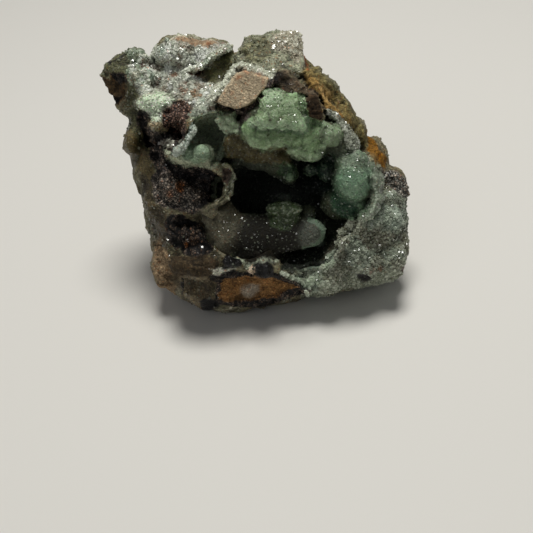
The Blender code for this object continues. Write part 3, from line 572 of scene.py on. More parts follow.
patch("tier_up", (130, 151, 113), "wax", 0.1, 8, """
    1.3,11.4 2.3,12.2 3.9,12.4 4.4,11.6 6.7,10.9 6.8,9.7 7.5,7.6 7.5,6.6 6.7,6.3 5.8,6.6 4.1,6.4
    2.3,6.8 1.5,6.6 -0.1,6.9 -0.9,7.5 -0.2,8.1 0.5,9.2 0.6,10.3""")
patch("tier_up_shade", (78, 108, 76), "wax", 0.4, 6, """
    -1.1,7.2 -0.1,6.4 1.4,6.1 2.6,6.1 4.1,5.8 5.6,6 6.7,5.6 7.7,5.9 8.2,6.9 8.1,8.1 7.7,8.1 7.6,6.5
    6.7,6.1 5.8,6.5 4.1,6.3 2.3,6.7 1.5,6.5 -0.1,6.8 -1,7.4""")
# The pale bands along the lower rims of the three tiers are painted highlight, where light comes through
# their thin edges.
patch("tier_up_lit_rim", (172, 196, 160), "wax", 0.5, 8, """
    -0.3,7.7 0.6,7.6 1.7,7.3 3.5,7.1 5,7.2 6.3,6.8 6.9,7.3 6.9,8.2 7.5,8.2 7.6,7.5 7.6,6.4 6.7,6
    5.8,6.4 4.1,6.2 2.3,6.5 1.5,6.4 -0.1,6.7 -1.1,7.3""")
patch("tier_mid_lit_rim", (158, 180, 142), "wax", 0.5, 6, """
    -2,6.1 -1.3,5.4 -0.7,4.9 0.2,4.3 1.3,4 2.7,4.3 3.8,4.6 4.4,4.4 4.1,3.9 2.7,3.5 1.3,3.2 -0.1,3.6
    -1.2,4.4 -2,5.4""")
patch("tier_low_lit_rim", (154, 176, 138), "wax", 0.5, 5, """
    7.3,2.9 8.3,2.3 9.1,2.4 9.5,3.3 9.8,4.1 10.6,4.8 11.3,4.7 10.7,3.7 10.2,3.1 9.8,2.1 8.8,1.4 7.8,1.6
    7.1,2.1 5.8,2.3 4.8,2.9 5.2,3.4 6.2,3""")
patch("tip_knob", (150, 170, 136), "wax", 0.15, 6.5, """
    1.3,11.3 2.3,12.3 3.8,12.4 4.3,11.3 3.6,10.5 2.3,10.2 1.4,10.6""")
patch("facet_under2", (62, 54, 50), "satin", 0.2, 8, """
    -2.8,8.9 -1.8,8.7 -0.7,9 -0.6,8.4 -1.2,7.6 -2.1,7.3 -2.6,7.6 -2.8,8.4""")
patch("knob_low", (40, 78, 50), "wax", 0.4, 2, """
    11.6,-3.6 12.3,-2.7 13.2,-3.6 14.3,-4.5 15.7,-4.9 16.8,-4.5 17.4,-5 16.9,-6.1 16.3,-6.7 15.1,-7.2
    13.3,-7.1 11.9,-5.9""")
patch("knob_right", (122, 152, 124), "wax", 0.7, 4, """
    12,-1.4 12.5,-0 13.2,1.2 14.4,2.3 15.9,2.9 17.1,2.1 17.8,0.8 17.6,-0.9 17.2,-2.4 16.8,-3.6
    16.2,-4.4 15.2,-4.8 14.3,-4.5 13.2,-3.6 12.3,-2.6""")
patch("knob_top", (90, 104, 84), "lobe", 1.2, 3, """
    12.6,1.8 13.8,2.7 16.1,3 17.7,2.1 18.7,0.6 18.1,-0.2 16.9,0.3 14.7,0.5 13.2,0.3""")
patch("bulb", (58, 80, 52), "wax", 0.3, 1, """
    3.6,0.9 4.5,1.5 5.6,1.4 6.4,0.5 6.4,-0.8 5.5,-1.5 4.4,-1.4 3.6,-0.3""")
patch("bar", (74, 64, 50), "stone", 0.12, 3, """
    2.8,14.2 3.7,15.3 4.9,15.2 5.8,14.3 7.2,13.3 8,12.6 9,12.2 9.4,11.6 9.2,11 8.1,11.1 6.7,11.5
    5.1,11.6 4.1,12.1 3.2,12.8""")
patch("banded", (44, 33, 20), "stone", 0.1, 2, """
    7.6,10.8 8.1,11.5 8.9,11.7 9.5,11.6 9.9,10.6 10.3,9 10.4,7.6 9.6,7.7 8.3,8.1 7.8,9.3""")
patch("facet_under", (84, 76, 72), "sponge", 0.1, 4, """
    -5.7,10.2 -4,9.7 -2.5,9.3 -1,9.7 0.2,10.6 1,11.5 1.7,12.4 2,13 2.3,14.1 3.2,14.4 3.3,13.1 2.5,12.2
    1.5,11.8 0.8,10.8 0.2,9.9 -0.6,9 -1.8,8.7 -2.8,8.9 -4.2,9.3""")

# These have no paint of their own.
OUTLINES["horn_top"] = outline("""
    -22.7,15.6 -22.2,16.3 -20.7,17.2 -19.2,18.1 -18.1,18.3 -16.8,18.1 -15.9,17.3 -16.7,15.7 -18.6,14.7
    -21.3,14.5 -22.5,14.7""")
OUTLINES["slope_bulge"] = outline("""
    9.5,16.4 11.2,16.9 12.8,15.8 13.8,13.7 12.8,12.5 11,13.7 9.5,14.9""")
OUTLINES["top_all"] = outline("""
    -18.9,16.6 -16.4,18.1 -13.8,18.6 -12.6,19.8 -10.7,20.5 -7.3,20 -5.5,19.4 -3.4,18.8 -4,17.8
    -6.1,16.9 -7.4,15.4 -7.8,13.7 -6.7,12.2 -4.9,10.7 -6.2,9 -8.3,8.7 -10.1,9 -11.5,10.4 -14.2,11
    -16.5,11.6 -18.1,13.1 -18.6,14.8""")
OUTLINES["lobe_all"] = outline("""
    14.7,3.5 17.8,1.4 19.9,-1.8 20,-3.9 21.5,-3.6 22.7,-4.2 23.4,-6.1 23.1,-10.4 22.9,-15 22,-16.5
    19.2,-16.9 14.6,-17.5 11.5,-18.4 9.2,-19 8.1,-19 6.9,-17.5 4.6,-15.3 6.9,-13.7 9.7,-12.8 11.5,-11
    13.8,-8.1 15.7,-5 16.9,-2.7""")
OUTLINES["hill_fill"] = outline("""
    -2.4,17.8 -1.5,19.5 0.2,20.4 2.6,20.8 5.2,20.7 6.7,20.1 7.2,17.2 7.4,15.6 5.6,15.2 3.8,15.6
    1.1,15.5 -1.2,16.2""")
OUTLINES["saddle"] = outline("""
    4.2,17.5 7.2,17.5 7.7,15.8 7.5,14.1 6.5,14.3 5,15 3.8,15.8""")


# ---------------------------------------------------------------- shapes laid over the CAD ones


def slab(name, height, slope, thick, edge, ragged=0.0, seed=5):
    """A closed plate with a rounded rim: the outline it has when seen, the height of its front
    in the middle, how that changes along u and v, half its thickness and its rim's radius."""
    shape = OUTLINES[name]
    low, high = shape.min(0) - SLAB_MARGIN, shape.max(0) + SLAB_MARGIN
    count = np.ceil((high - low) / SLAB_STEP).astype(int) + 1
    columns, rows = (low[k] + np.arange(count[k]) * SLAB_STEP for k in range(2))
    uv = np.stack([side.ravel() for side in np.meshgrid(columns, rows)], 1)
    flat = np.column_stack([uv, np.zeros(len(uv))])
    shift = np.stack([fractal(flat, 1.2, 2, seed), fractal(flat, 1.2, 2, seed + 7)], 1) * ragged
    depth = inside(uv + shift, shape)
    rim = np.sqrt(1.0 - (1.0 - np.clip(depth / edge, 0.0, 1.0)) ** 2)
    middle = height + (uv - shape.mean(0)) @ np.array(slope) - thick
    keep = depth > 0.0
    sides = []
    for z in (middle + thick * rim, middle - thick * rim):
        scale = 1.0 - z[keep] / EYE
        sides.append(np.column_stack([uv[keep] * scale[:, None], z[keep]]))
    total = int(keep.sum())
    index = (np.cumsum(keep) - 1).reshape(count[1], count[0])
    keep = keep.reshape(index.shape)
    full = keep[:-1, :-1] & keep[1:, :-1] & keep[:-1, 1:] & keep[1:, 1:]
    faces = []
    filled = set(zip(*(side.tolist() for side in np.nonzero(full))))
    for r, c in filled:
        a, b, d, e = index[r, c], index[r, c + 1], index[r + 1, c + 1], index[r + 1, c]
        faces.append((a, b, d, e))
        faces.append((total + e, total + d, total + b, total + a))
        rims = ((a, b, r - 1, c), (b, d, r, c + 1), (d, e, r + 1, c), (e, a, r, c - 1))
        for p, q, row, column in rims:
            if (row, column) not in filled:
                faces.append((q, p, total + p, total + q))
    return np.vstack(sides), faces


def ellipsoid(centre, radii, detail=3):
    """A closed ellipsoid."""
    bm = bmesh.new()
    bmesh.ops.create_icosphere(bm, subdivisions=detail, radius=1.0)
    points = np.array([v.co for v in bm.verts]) * np.array(radii) + np.array(centre)
    faces = [tuple(v.index for v in f.verts) for f in bm.faces]
    bm.free()
    return points, faces


def lump(u, v, z, *radii):
    """An ellipsoid at height z, in the place that is seen at (u, v)."""
    return ellipsoid(lift(u, v, z), radii)


def beads(u, v, z, radius, rng):
    """A round lump with small ones over it, like a berry."""
    shapes = []
    for _ in range(9):
        off = rng.normal(0.0, 1.0, 3)
        off *= radius * 0.75 / np.linalg.norm(off)
        place = np.array(lift(u, v, z)) + off
        shapes.append(ellipsoid(place, radius * rng.uniform(0.4, 0.55) * np.ones(3), 2))
    return shapes + [lump(u, v, z, radius * 0.8, radius * 0.8, radius * 0.8)]


def fringe(radius, path, rng):
    """Small round lumps side by side along the rim of a ledge."""
    shapes = []
    line = [np.array(lift(*place)) for place in path]
    for a, b in zip(line[:-1], line[1:]):
        steps = max(1, int(round(np.linalg.norm(b - a) / (radius * 1.25))))
        for k in range(steps):
            at = a + (b - a) * ((k + rng.uniform(0.2, 0.8)) / steps) + rng.uniform(-0.2, 0.2, 3)
            shapes.append(ellipsoid(at, radius * rng.uniform(0.7, 1.25) * np.ones(3), 2))
    return shapes


def finger(path):
    """A smooth rod, given by places along it and its radius at each."""
    shapes = []
    line = [(np.array(lift(*place[:3])), place[3]) for place in path]
    for (a, start), (b, end) in zip(line[:-1], line[1:]):
        steps = max(1, int(round(np.linalg.norm(b - a) / 0.35)))
        for k in range(steps + 1):
            t = k / steps
            shapes.append(ellipsoid(a + (b - a) * t, (start + (end - start) * t) * np.ones(3)))
    return shapes


def joined(shapes):
    """Closed shapes as one mesh in the world's frame."""
    points = []
    faces = []
    start = 0
    for more_points, more_faces in shapes:
        points.append(more_points)
        faces.extend(tuple(start + i for i in face) for face in more_faces)
        start += len(more_points)
    mesh = bpy.data.meshes.new("shapes")
    mesh.from_pydata(to_world(np.vstack(points)).tolist(), [], faces)
    return mesh


# Slabs are outline, height, slope along u and v, half thickness, rim, raggedness and seed.
# Lumps are u, v, height and three radii.
ROCK_SHAPES = [
    ("facet", 11.1, (0.10, -0.20), 2.2, 0.10),
    ("facet_around", 10.5, (0.10, -0.25), 2.2, 1.3, 0.4, 81),
    ("facet_under", 10.7, (0.10, 0.1), 1.6, 0.4, 0.25, 71),
    ("bar", 10.3, (0.05, -0.20), 2.2, 0.15, 0.3),
    ("hill_fill", 3.7, (0.0, -0.45), 4.0, 1.4, 0.4, 85),
    ("saddle", 6.2, (0.0, -1.5), 3.0, 1.2, 0.3, 88),
    ("banded", 11.6, (-0.5, 0.1), 2.2, 0.2, 0.3),
    ("limonite", 7.9, (-0.35, 0.0), 2.0, 1.4, 0.4, 87),
    ("notch", 4.5, (0.1, -0.12), 2.2, 0.8, 0.1, 72),
    ("notch_rim", 5.7, (0.05, 0.05), 1.7, 0.4, 0.3, 73),
    ("rim1", 8.3, (0.12, -0.04), 2.4, 0.45, 0.25, 74),
    ("black_fill", 4.6, (0.1, 0.0), 2.4, 0.8, 0.5, 86),
    ("white_ridge", 10.2, (0.05, 0.10), 2.6, 0.4, 0.3, 75),
    ("lip_left", 7.1, (0.0, -0.05), 1.6, 0.4, 0.25, 76),
    ("lip_low", 7.0, (0.0, 0.0), 1.8, 0.4, 0.25, 77),
    ("ridge_right", 8.2, (-0.35, -0.15), 1.8, 0.9, 0.3, 79),
    (-15.1, 6.9, 6.0, 1.1, 0.85, 1.0),
    (-11.7, 4.0, 8.6, 0.8, 0.75, 0.8),
    (-0.6, -14.9, 7.0, 0.6, 0.55, 0.7),
    ("wedge", 7.9, (0.30, 0.0), 2.2, 1.5, 0.1, 82),
    ("horn_top", 1.8, (0.05, -0.15), 1.6, 0.8, 0.3, 83),
    ("lip_right", 5.4, (0.0, 0.15), 2.2, 0.9, 0.3, 84),
    (-2.7, -13.9, 7.6, 0.65, 0.6, 0.7),
    (0.2, -15.4, 7.1, 0.7, 0.55, 0.7),
    (14.4, -12.6, 5.4, 1.5, 1.2, 1.2),
    (14.0, -9.6, 5.6, 1.4, 1.2, 1.2),
    (20.2, -8.1, 3.2, 1.0, 0.9, 1.0),
    (-6.2, 16.2, 3.4, 1.6, 1.0, 1.4),
]
CRUST_SHAPES = [
    ("mound", 8.0, (0.0, 0.35), 1.6, 1.8, 0.6, 61),
    ("tier_low", 10.2, (-0.12, -0.10), 2.0, 2.0, 0.6, 62),
    ("tier_mid", 11.2, (-0.15, 0.10), 2.0, 1.8, 0.6, 63),
    ("tier_up", 13.4, (-0.05, -0.16), 2.0, 1.0, 0.6, 64),
    ("drip", 10.2, (0.15, 0.1), 2.2, 0.8, 0.2, 65),
    ("left_wall", 7.1, (-0.38, 0.0), 2.4, 1.5, 0.1, 70),
    ("bridge", 9.1, (-0.15, -0.05), 2.6, 1.8, 0.3, 78),
    ("recess_ledge", 8.5, (0.0, 0.1), 2.8, 0.9, 0.2, 66),
    ("dome_right", 10.1, (-0.1, 0.1), 2.0, 1.8, 0.4, 69),
    (2.9, 11.3, 9.6, 1.5, 1.0, 1.4),
    (-2.8, 5.3, 8.0, 1.5, 1.3, 1.5),
    (-0.6, 4.1, 8.0, 1.6, 1.4, 1.6),
    (1.6, 3.0, 7.8, 1.5, 1.4, 1.5),
    (3.2, 2.0, 7.2, 1.3, 1.2, 1.3),
    (5.2, -0.4, 5.0, 1.1, 1.3, 1.3),
    (4.2, 1.0, 4.6, 1.7, 1.4, 1.4),
    (4.4, -5.6, 6.1, 2.7, 1.2, 1.6),
    (4.6, -6.7, 5.5, 2.2, 1.5, 1.6),
    (4.6, -3.9, 2.6, 1.2, 0.9, 1.2),
    (8.0, -6.2, 3.4, 1.3, 1.3, 1.2),
    (-8.1, 2.9, 8.6, 1.25, 1.2, 1.2),
    (14.6, -0.8, 7.2, 2.5, 3.2, 2.7),
    (13.6, 1.0, 7.3, 1.5, 1.5, 1.6),
    (15.4, 1.6, 7.2, 1.9, 1.5, 1.8),
    (15.9, -2.6, 6.9, 1.6, 1.7, 1.8),
    (14.3, -2.6, 7.0, 1.7, 1.5, 1.7),
    (14.3, -5.4, 4.4, 2.6, 1.8, 2.0),
    (12.6, -4.4, 3.8, 1.6, 1.5, 1.6),
    (11.0, 0.4, 3.0, 1.7, 2.0, 1.6),
    (8.5, 0.3, 2.8, 1.2, 1.0, 1.0),
]

# Beads, and the places along the tongue's rod, are u, v, height and radius.
BEADS = [(-3.9, -13.5, 8.0, 1.0), (1.3, -14.7, 7.6, 1.05), (0.2, -14.9, 7.3, 0.7)]
TONGUE_ROD = [(8.55, -9.2, 4.5, 2.15), (1.1, -9.6, 3.9, 3.2)]
TONGUE_ROD += [(-2.3, -9.5, 4.1, 3.2), (-5.0, -8.9, 4.9, 2.4)]

# Fringes are the radius of their lumps and the places they pass.
ROCK_FRINGES = [
    (0.4, [(-10.0, 15.2, 4.9), (-8.4, 15.8, 5.1), (-7.0, 17.3, 4.8), (-5.0, 18.2, 4.4), (-3.4, 18.4, 4.0)]),
    (0.35, [(-9.3, 8.8, 9.9), (-8.0, 9.1, 9.9), (-6.4, 9.3, 9.7), (-5.0, 9.4, 9.2)]),
    (0.3, [(-3.1, -0.3, 8.7), (-3.4, -2.6, 8.9), (-4.2, -4.3, 8.9), (-6.6, -5.3, 8.6)]),
    (0.5, [(4.1, -15.3, 6.4), (5.7, -16.3, 5.5), (7.1, -17.3, 4.2), (8.2, -18.3, 2.8)]),
    (0.6, [(11.5, -13.4, 4.6), (12.9, -11.4, 5.8), (13.9, -9.2, 6.2), (15.0, -7.4, 6.4)]),
]
CRUST_FRINGES = [
    (0.5, [(7.4, 6.9, 12.1), (6.2, 6.8, 12.3), (4.1, 6.8, 12.5), (1.5, 7.0, 12.6), (-0.4, 7.4, 12.6)]),
    (0.5, [(-1.9, 6.5, 10.1), (-1.6, 5.6, 10.2), (-0.7, 4.6, 10.2), (1.0, 3.9, 10.1), (2.7, 4.1, 9.9)]),
    (0.5, [(3.9, 4.0, 9.2), (5.4, 3.2, 9.1), (6.9, 2.6, 8.9), (8.6, 2.0, 8.7), (9.4, 2.4, 8.5)]),
    (0.5, [(9.6, 2.6, 8.5), (10.1, 3.5, 8.5), (10.7, 4.6, 8.6)]),
    (0.9, [(-4.3, 5.0, 8.6), (-2.6, 4.3, 8.9), (-0.7, 3.2, 8.8), (1.4, 2.6, 8.4)]),
    (0.6, [(-5.2, 7.9, 9.2), (-4.6, 6.8, 9.3), (-3.4, 6.0, 9.4), (-2.4, 5.6, 9.6)]),
]


def listed(rows):
    """The slabs and lumps of a list."""
    return [slab(*row) if isinstance(row[0], str) else lump(*row) for row in rows]


def rock_shapes(rng):
    shapes = listed(ROCK_SHAPES)
    for place in BEADS:
        shapes += beads(*place, rng)
    for radius, path in ROCK_FRINGES:
        shapes += fringe(radius, path, rng)
    return joined(shapes)


def crust_shapes(rng):
    shapes = listed(CRUST_SHAPES) + finger(TONGUE_ROD)
    for radius, path in CRUST_FRINGES:
        shapes += fringe(radius, path, rng)
    return joined(shapes)


# ---------------------------------------------------------------- meshes


def read(mesh, what="co"):
    values = np.empty(len(mesh.vertices) * 3)
    mesh.vertices.foreach_get(what, values)
    return values.reshape(-1, 3)


def write(mesh, points):
    mesh.vertices.foreach_set("co", points.ravel())
    mesh.update()


def above_floor(points):
    """The same places with none of them under the stone's foot."""
    points[:, 2] = np.maximum(points[:, 2], 0.0)
    return points


def edges_of(mesh):
    ends = np.empty(len(mesh.edges) * 2, dtype=np.int64)
    mesh.edges.foreach_get("vertices", ends)
    return ends.reshape(-1, 2)


def relax(points, edges, rounds=1):
    """Moves each vertex to the middle of its neighbours."""
    count = np.maximum(np.bincount(edges.ravel(), minlength=len(points)), 1)
    for _ in range(rounds):
        out = np.empty_like(points)
        for k in range(points.shape[1]):
            near = np.bincount(edges[:, 0], points[edges[:, 1], k], len(points))
            near += np.bincount(edges[:, 1], points[edges[:, 0], k], len(points))
            out[:, k] = near / count
        points = out
    return points


def settled(obj):
    """The object with its modifiers turned into plain mesh."""
    graph = bpy.context.evaluated_depsgraph_get()
    mesh = bpy.data.meshes.new_from_object(obj.evaluated_get(graph))
    obj.modifiers.clear()
    obj.data = mesh
    return obj


def link(name, data):
    obj = bpy.data.objects.new(name, data)
    bpy.context.scene.collection.objects.link(obj)
    return obj


def welded(mesh, extra):
    """A closed copy of a mesh whose faces were parted, with other closed shapes laid over it."""
    bm = bmesh.new()
    bm.from_mesh(mesh)
    bmesh.ops.remove_doubles(bm, verts=bm.verts, dist=WELD)
    bm.from_mesh(extra)
    out = bpy.data.meshes.new("shape")
    bm.to_mesh(out)
    bm.free()
    return out


def fused_skin(name, node, voxel, extra):
    """One fine smooth skin over a CAD node's shape and the shapes laid over it."""
    obj = link(name, welded(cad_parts[node].data, extra))
    fuse = obj.modifiers.new("fuse", "REMESH")
    fuse.mode = "VOXEL"
    fuse.voxel_size = voxel * MM
    settled(obj)
    obj.data.materials.clear()
    edges = edges_of(obj.data)
    points = read(obj.data)
    for _ in range(SMOOTHING_ROUNDS):
        for strength in (0.55, -0.57):
            points = points + strength * (relax(points, edges) - points)
    write(obj.data, points)
    return obj


def colour_attribute(mesh, name, colours):
    layer = mesh.color_attributes.new(name, "FLOAT_COLOR", "POINT")
    rgba = np.ones((len(colours), 4), dtype=np.float32)
    rgba[:, :3] = np.clip(colours, 0.0, 1.0)
    layer.data.foreach_set("color", rgba.ravel())


def value_attribute(mesh, name, values):
    layer = mesh.attributes.new(name, "FLOAT", "POINT")
    layer.data.foreach_set("value", np.clip(values, 0.0, 1.0).astype(np.float32))


# ---------------------------------------------------------------- painting and relief


class Surface:
    """The colour and the traits of each place on one skin."""

    def __init__(self, points, colour, look):
        self.points = points
        self.colour = np.tile(np.array(tone(*colour)), (len(points), 1))
        self.traits = np.tile(np.array(LOOKS[look]), (len(points), 1))

    def trait(self, name):
        return self.traits[:, TRAITS.index(name)]

    def tint(self, weight, colour):
        self.colour += (np.array(tone(*colour)) - self.colour) * weight[:, None]

    def become(self, weight, look):
        self.traits += (np.array(LOOKS[look]) - self.traits) * weight[:, None]

    def brighten(self, amount):
        self.colour *= (1.0 + amount)[:, None]

    def mottle(self, where, mottles):
        for low, high, size, octaves, seed, strength, colour in mottles:
            weight = smoothstep(low, high, fractal(self.points, size, octaves, seed))
            self.tint(where * weight * strength, colour)


def paint_patches(surface, looks=tuple(LOOKS)):
    heights = surface.points[:, 2]
    uv = sway(surface.points, PAINT_SWAY)
    for name, colour, look, soft, lowest in PATCHES:
        if look in looks:
            weight = smoothstep(-soft, soft, inside(uv, OUTLINES[name]))
            weight = weight * smoothstep(lowest - 0.8, lowest + 0.8, heights)
            surface.tint(weight, colour)
            surface.become(weight, look)
    for u, v, radius, colour, strength, lowest in SPOTS:
        away = np.linalg.norm(uv - np.array((u, v)), axis=1)
        weight = (1.0 - smoothstep(radius * 0.6, radius * 1.2, away)) * strength
        surface.tint(weight * (heights > lowest), colour)


def streak(surface):
    """Darker and lighter bands along the grain of some pieces."""
    p = surface.points
    uv = sway(p, RELIEF_SWAY)
    for name, (along, across), width, strength in STREAKS:
        weight = smoothstep(-0.2, 0.2, inside(uv, OUTLINES[name])) * (p[:, 2] > 1.0)
        place = [uv @ np.array([-across, along]), uv @ np.array([along, across]) / 7.0]
        place = np.column_stack([*place, np.zeros(len(uv))])
        surface.brighten(weight * strength * noise(place, width, 61))


def mottle_druse(surface):
    """Patches a few millimetres wide: brown, grey, white and pale green on the druse of the
    top, and brownish, bluish and clear on the druse-covered lobe."""
    p = surface.points
    uv = sway(p, PAINT_SWAY)
    top = smoothstep(-0.3, 0.3, inside(uv, OUTLINES["top_all"])) * surface.trait("druse")
    surface.mottle(top, TOP_MOTTLES)
    on = smoothstep(-0.3, 0.5, inside(uv, OUTLINES["lobe_all"])) * smoothstep(-9.0, -6.0, p[:, 2])
    surface.mottle(on, LOBE_MOTTLES)


def painted_rock(mesh):
    """The rock's surface: tan, umber and grey stone, greener at the front, under the patches."""
    points = to_face(read(mesh))
    normals = read(mesh, "normal") @ np.array(FACE_TURN)
    surface = Surface(points, STONE_TAN, "stone")
    surface.mottle(1.0, BARE_MOTTLES)
    front = smoothstep(-0.3, 0.3, normals[:, 2]) * smoothstep(-8.0, -2.0, points[:, 2])
    surface.tint(front * 0.8, (98, 96, 74))
    surface.become(front * 0.8, "skin")
    paint_patches(surface)
    return surface


def relief(surface):
    """How far each place stands out or in."""
    p = surface.points
    uv = sway(p, RELIEF_SWAY)
    h = 0.34 * chips(p, 3.4, 12) + 0.20 * chips(p, 1.5, 13) + 0.16 * fractal(p, 2.4, 2, 11)
    h = surface.trait("crag") * h
    druse = 0.16 * (domes(p, 1.1, 14) - 0.5) + 0.11 * (domes(p, 0.6, 15) - 0.5)
    h += surface.trait("druse") * druse
    web = np.abs(noise(p, 1.15, 16)) * 1.6 + np.abs(noise(p, 0.6, 17)) * 0.8
    h += surface.trait("sponge") * (0.50 * (web - 0.75) + 0.16 * (domes(p, 0.5, 18) - 0.5))
    h += surface.trait("grain") * (0.07 * (domes(p, 0.42, 19) - 0.5) + 0.05 * noise(p, 0.9, 20))
    h += 0.10 * fractal(p, 3.0, 2, 21)
    for name, height, edge, lowest in STEPS:
        weight = smoothstep(0.0, edge, inside(uv, OUTLINES[name]))
        h += height * weight * (p[:, 2] > lowest)
    for centre, reach, spacing, height in RINGS:
        away = np.linalg.norm(uv - np.array(centre), axis=1)
        near = 1.0 - smoothstep(reach * 0.7, reach, away)
        h += height * near * np.sin(away * 2.0 * math.pi / spacing) * (p[:, 2] > 1.0)
    return h


def colours_with_painted_light(surface, mesh, edges):
    """Mottles, painted highlights on what stands out and painted shade in what lies deep, kept as
    attributes.
    """
    p = surface.points
    calm = relax(read(mesh), edges, 4)
    high = ((read(mesh) - calm) * read(mesh, "normal")).sum(1) / MM
    wide = relax(calm, edges, 10)
    broad = ((calm - wide) * read(mesh, "normal")).sum(1) / MM
    druse, wax, sponge = (surface.trait(name) for name in ("druse", "wax", "sponge"))
    fine = 0.22 * fractal(p, 0.6, 2, 82) * (0.4 + 0.6 * (1.0 - wax))
    surface.brighten(0.20 * fractal(p, 1.8, 3, 81) + fine)
    # Painted highlight: what stands out is made lighter, whiter on druse, paler green on wax and browner on
    # sponge, and broad swells of wax are made lighter.
    highlight_mask = smoothstep(0.02, 0.10, high)
    surface.brighten(0.4 * highlight_mask * (1.0 - sponge))
    surface.tint(highlight_mask * np.clip(druse - 0.5, 0.0, 0.5), (206, 210, 196))
    surface.tint(highlight_mask * np.clip(wax - 0.5, 0.0, 0.5) * 0.9, (176, 196, 164))
    surface.brighten(0.35 * smoothstep(0.05, 0.35, broad) * wax)
    surface.tint(sponge * highlight_mask * 0.45, (122, 104, 88))
    # Painted shade: creases and broad hollows are made darker.
    surface.brighten(-0.6 * smoothstep(0.02, 0.12, -high))
    surface.brighten(-0.35 * smoothstep(0.05, 0.35, -broad))
    colour_attribute(mesh, "tint", surface.colour)
    for name in ("rough", "glitter", "wax", "fleck"):
        value_attribute(mesh, name, surface.trait(name))
    value_attribute(mesh, "crumb", sponge)


# ---------------------------------------------------------------- materials


class Recipe:
    """A new material and its nodes, each made, set and joined in one call."""

    def __init__(self, name):
        self.material = bpy.data.materials.new(name)
        self.material.use_nodes = True
        self.tree = self.material.node_tree
        self.shader = self.tree.nodes["Principled BSDF"]

    def fill(self, node, inputs):
        """Joins each input to the socket given for it, or sets it to the value given."""
        for label, value in inputs.items():
            if isinstance(value, bpy.types.NodeSocket):
                self.tree.links.new(value, node.inputs[label])
            else:
                node.inputs[label].default_value = value

    def node(self, kind, inputs, **settings):
        """The outputs of a new node."""
        node = self.tree.nodes.new("ShaderNode" + kind)
        for name, value in settings.items():
            setattr(node, name, value)
        self.fill(node, inputs)
        return node.outputs

    def where(self):
        return self.node("TexCoord", {})["Object"]

    def attribute(self, name, output="Fac"):
        return self.node("Attribute", {}, attribute_name=name)[output]

    def scaled(self, value, low, high, from_low=0.3, from_high=0.7):
        ends = {"From Min": from_low, "From Max": from_high, "To Min": low, "To Max": high}
        return self.node("MapRange", {"Value": value, **ends})["Result"]

    def shaded(self, looks):
        """The material, with these inputs of its shader."""
        self.fill(self.shader, looks)
        return self.material

    def clouds(self, scale, low, high):
        """A value that varies from low to high."""
        cloud = self.node("TexNoise", {"Vector": self.where(), "Scale": scale})["Fac"]
        return self.scaled(cloud, low, high, 0.0, 1.0)

    def vector(self, operation, first, **inputs):
        return self.node("VectorMath", {0: first, **inputs}, operation=operation)["Vector"]

    def number(self, operation, *inputs):
        return self.node("Math", dict(enumerate(inputs)), operation=operation)["Value"]


def skin_material(name, specular):
    """Stone, druse or wax, as the skin's attributes say, with fine grain and glittering facets."""
    make = Recipe(name)
    where = make.where()
    fleck = make.attribute("fleck")
    noisy = {"Vector": where, "Scale": 3800.0, "Detail": 3.0, "Roughness": 0.7}
    grain = make.node("TexNoise", noisy)["Fac"]
    crystal = make.node("TexVoronoi", {"Vector": where, "Scale": 4300.0})
    crumb = make.node("TexVoronoi", {"Vector": where, "Scale": 2300.0}, feature="DISTANCE_TO_EDGE")
    parted = make.node("SeparateColor", {"Color": crystal["Color"]})

    calm = make.scaled(grain, 0.78, 1.22)
    busy = make.scaled(grain, 0.25, 1.75)
    spread = make.node("Mix", {"Factor": fleck, "A": calm, "B": busy})["Result"]
    tint = make.vector("SCALE", make.attribute("tint", "Color"), Scale=spread)
    minerals = mineral_ramp(make, parted["Red"])
    stronger = make.vector("SCALE", minerals, Scale=2.5)
    mixed = {"Factor": fleck, "A": (1.0, 1.0, 1.0), "B": stronger}
    amount = make.node("Mix", mixed, data_type="VECTOR")["Result"]
    flecked = make.node("VectorMath", {0: tint, 1: amount}, operation="MULTIPLY")["Vector"]
    # On sponge the colour is painted darker in the gaps between crumbs and lighter on their middles:
    # painted shade and painted highlight.
    deep = make.scaled(crumb["Distance"], 0.12, 1.8, 0.04, 0.34)
    crumb_shading = make.node("Mix", {"Factor": make.attribute("crumb"), "A": 1.0, "B": deep})["Result"]

    height = make.number("MULTIPLY_ADD", grain, 0.8, crystal["Distance"])
    raised = make.node("Bump", {"Height": height, "Strength": 0.8, "Distance": 0.00012})
    centred = {0: crystal["Color"], 1: (0.5, 0.5, 0.5)}
    facet = make.node("VectorMath", centred, operation="SUBTRACT")["Vector"]
    normal = make.node("NewGeometry", {})["Normal"]
    turned = make.node("VectorMath", {0: normal, 1: facet}, operation="ADD")["Vector"]
    chosen = make.number("GREATER_THAN", parted["Green"], 0.70)
    rough = make.scaled(grain, 0.8, 1.2)
    waxy = make.scaled(grain, 0.45, 0.6)
    looks = {
        "Base Color": make.vector("SCALE", flecked, Scale=crumb_shading),
        "Roughness": make.number("MULTIPLY", make.attribute("rough"), rough),
        "Normal": raised["Normal"],
        "Coat Normal": make.vector("NORMALIZE", turned),
        "Coat Weight": make.number("MULTIPLY", make.attribute("glitter"), chosen),
        "Coat Roughness": 0.08,
        "Coat IOR": 1.6,
        "Specular IOR Level": specular,
        "Subsurface Weight": make.number("MULTIPLY", make.attribute("wax"), waxy),
        "Subsurface Radius": (0.55, 1.0, 0.6),
        "Subsurface Scale": 0.0009,
    }
    return make.shaded(looks)


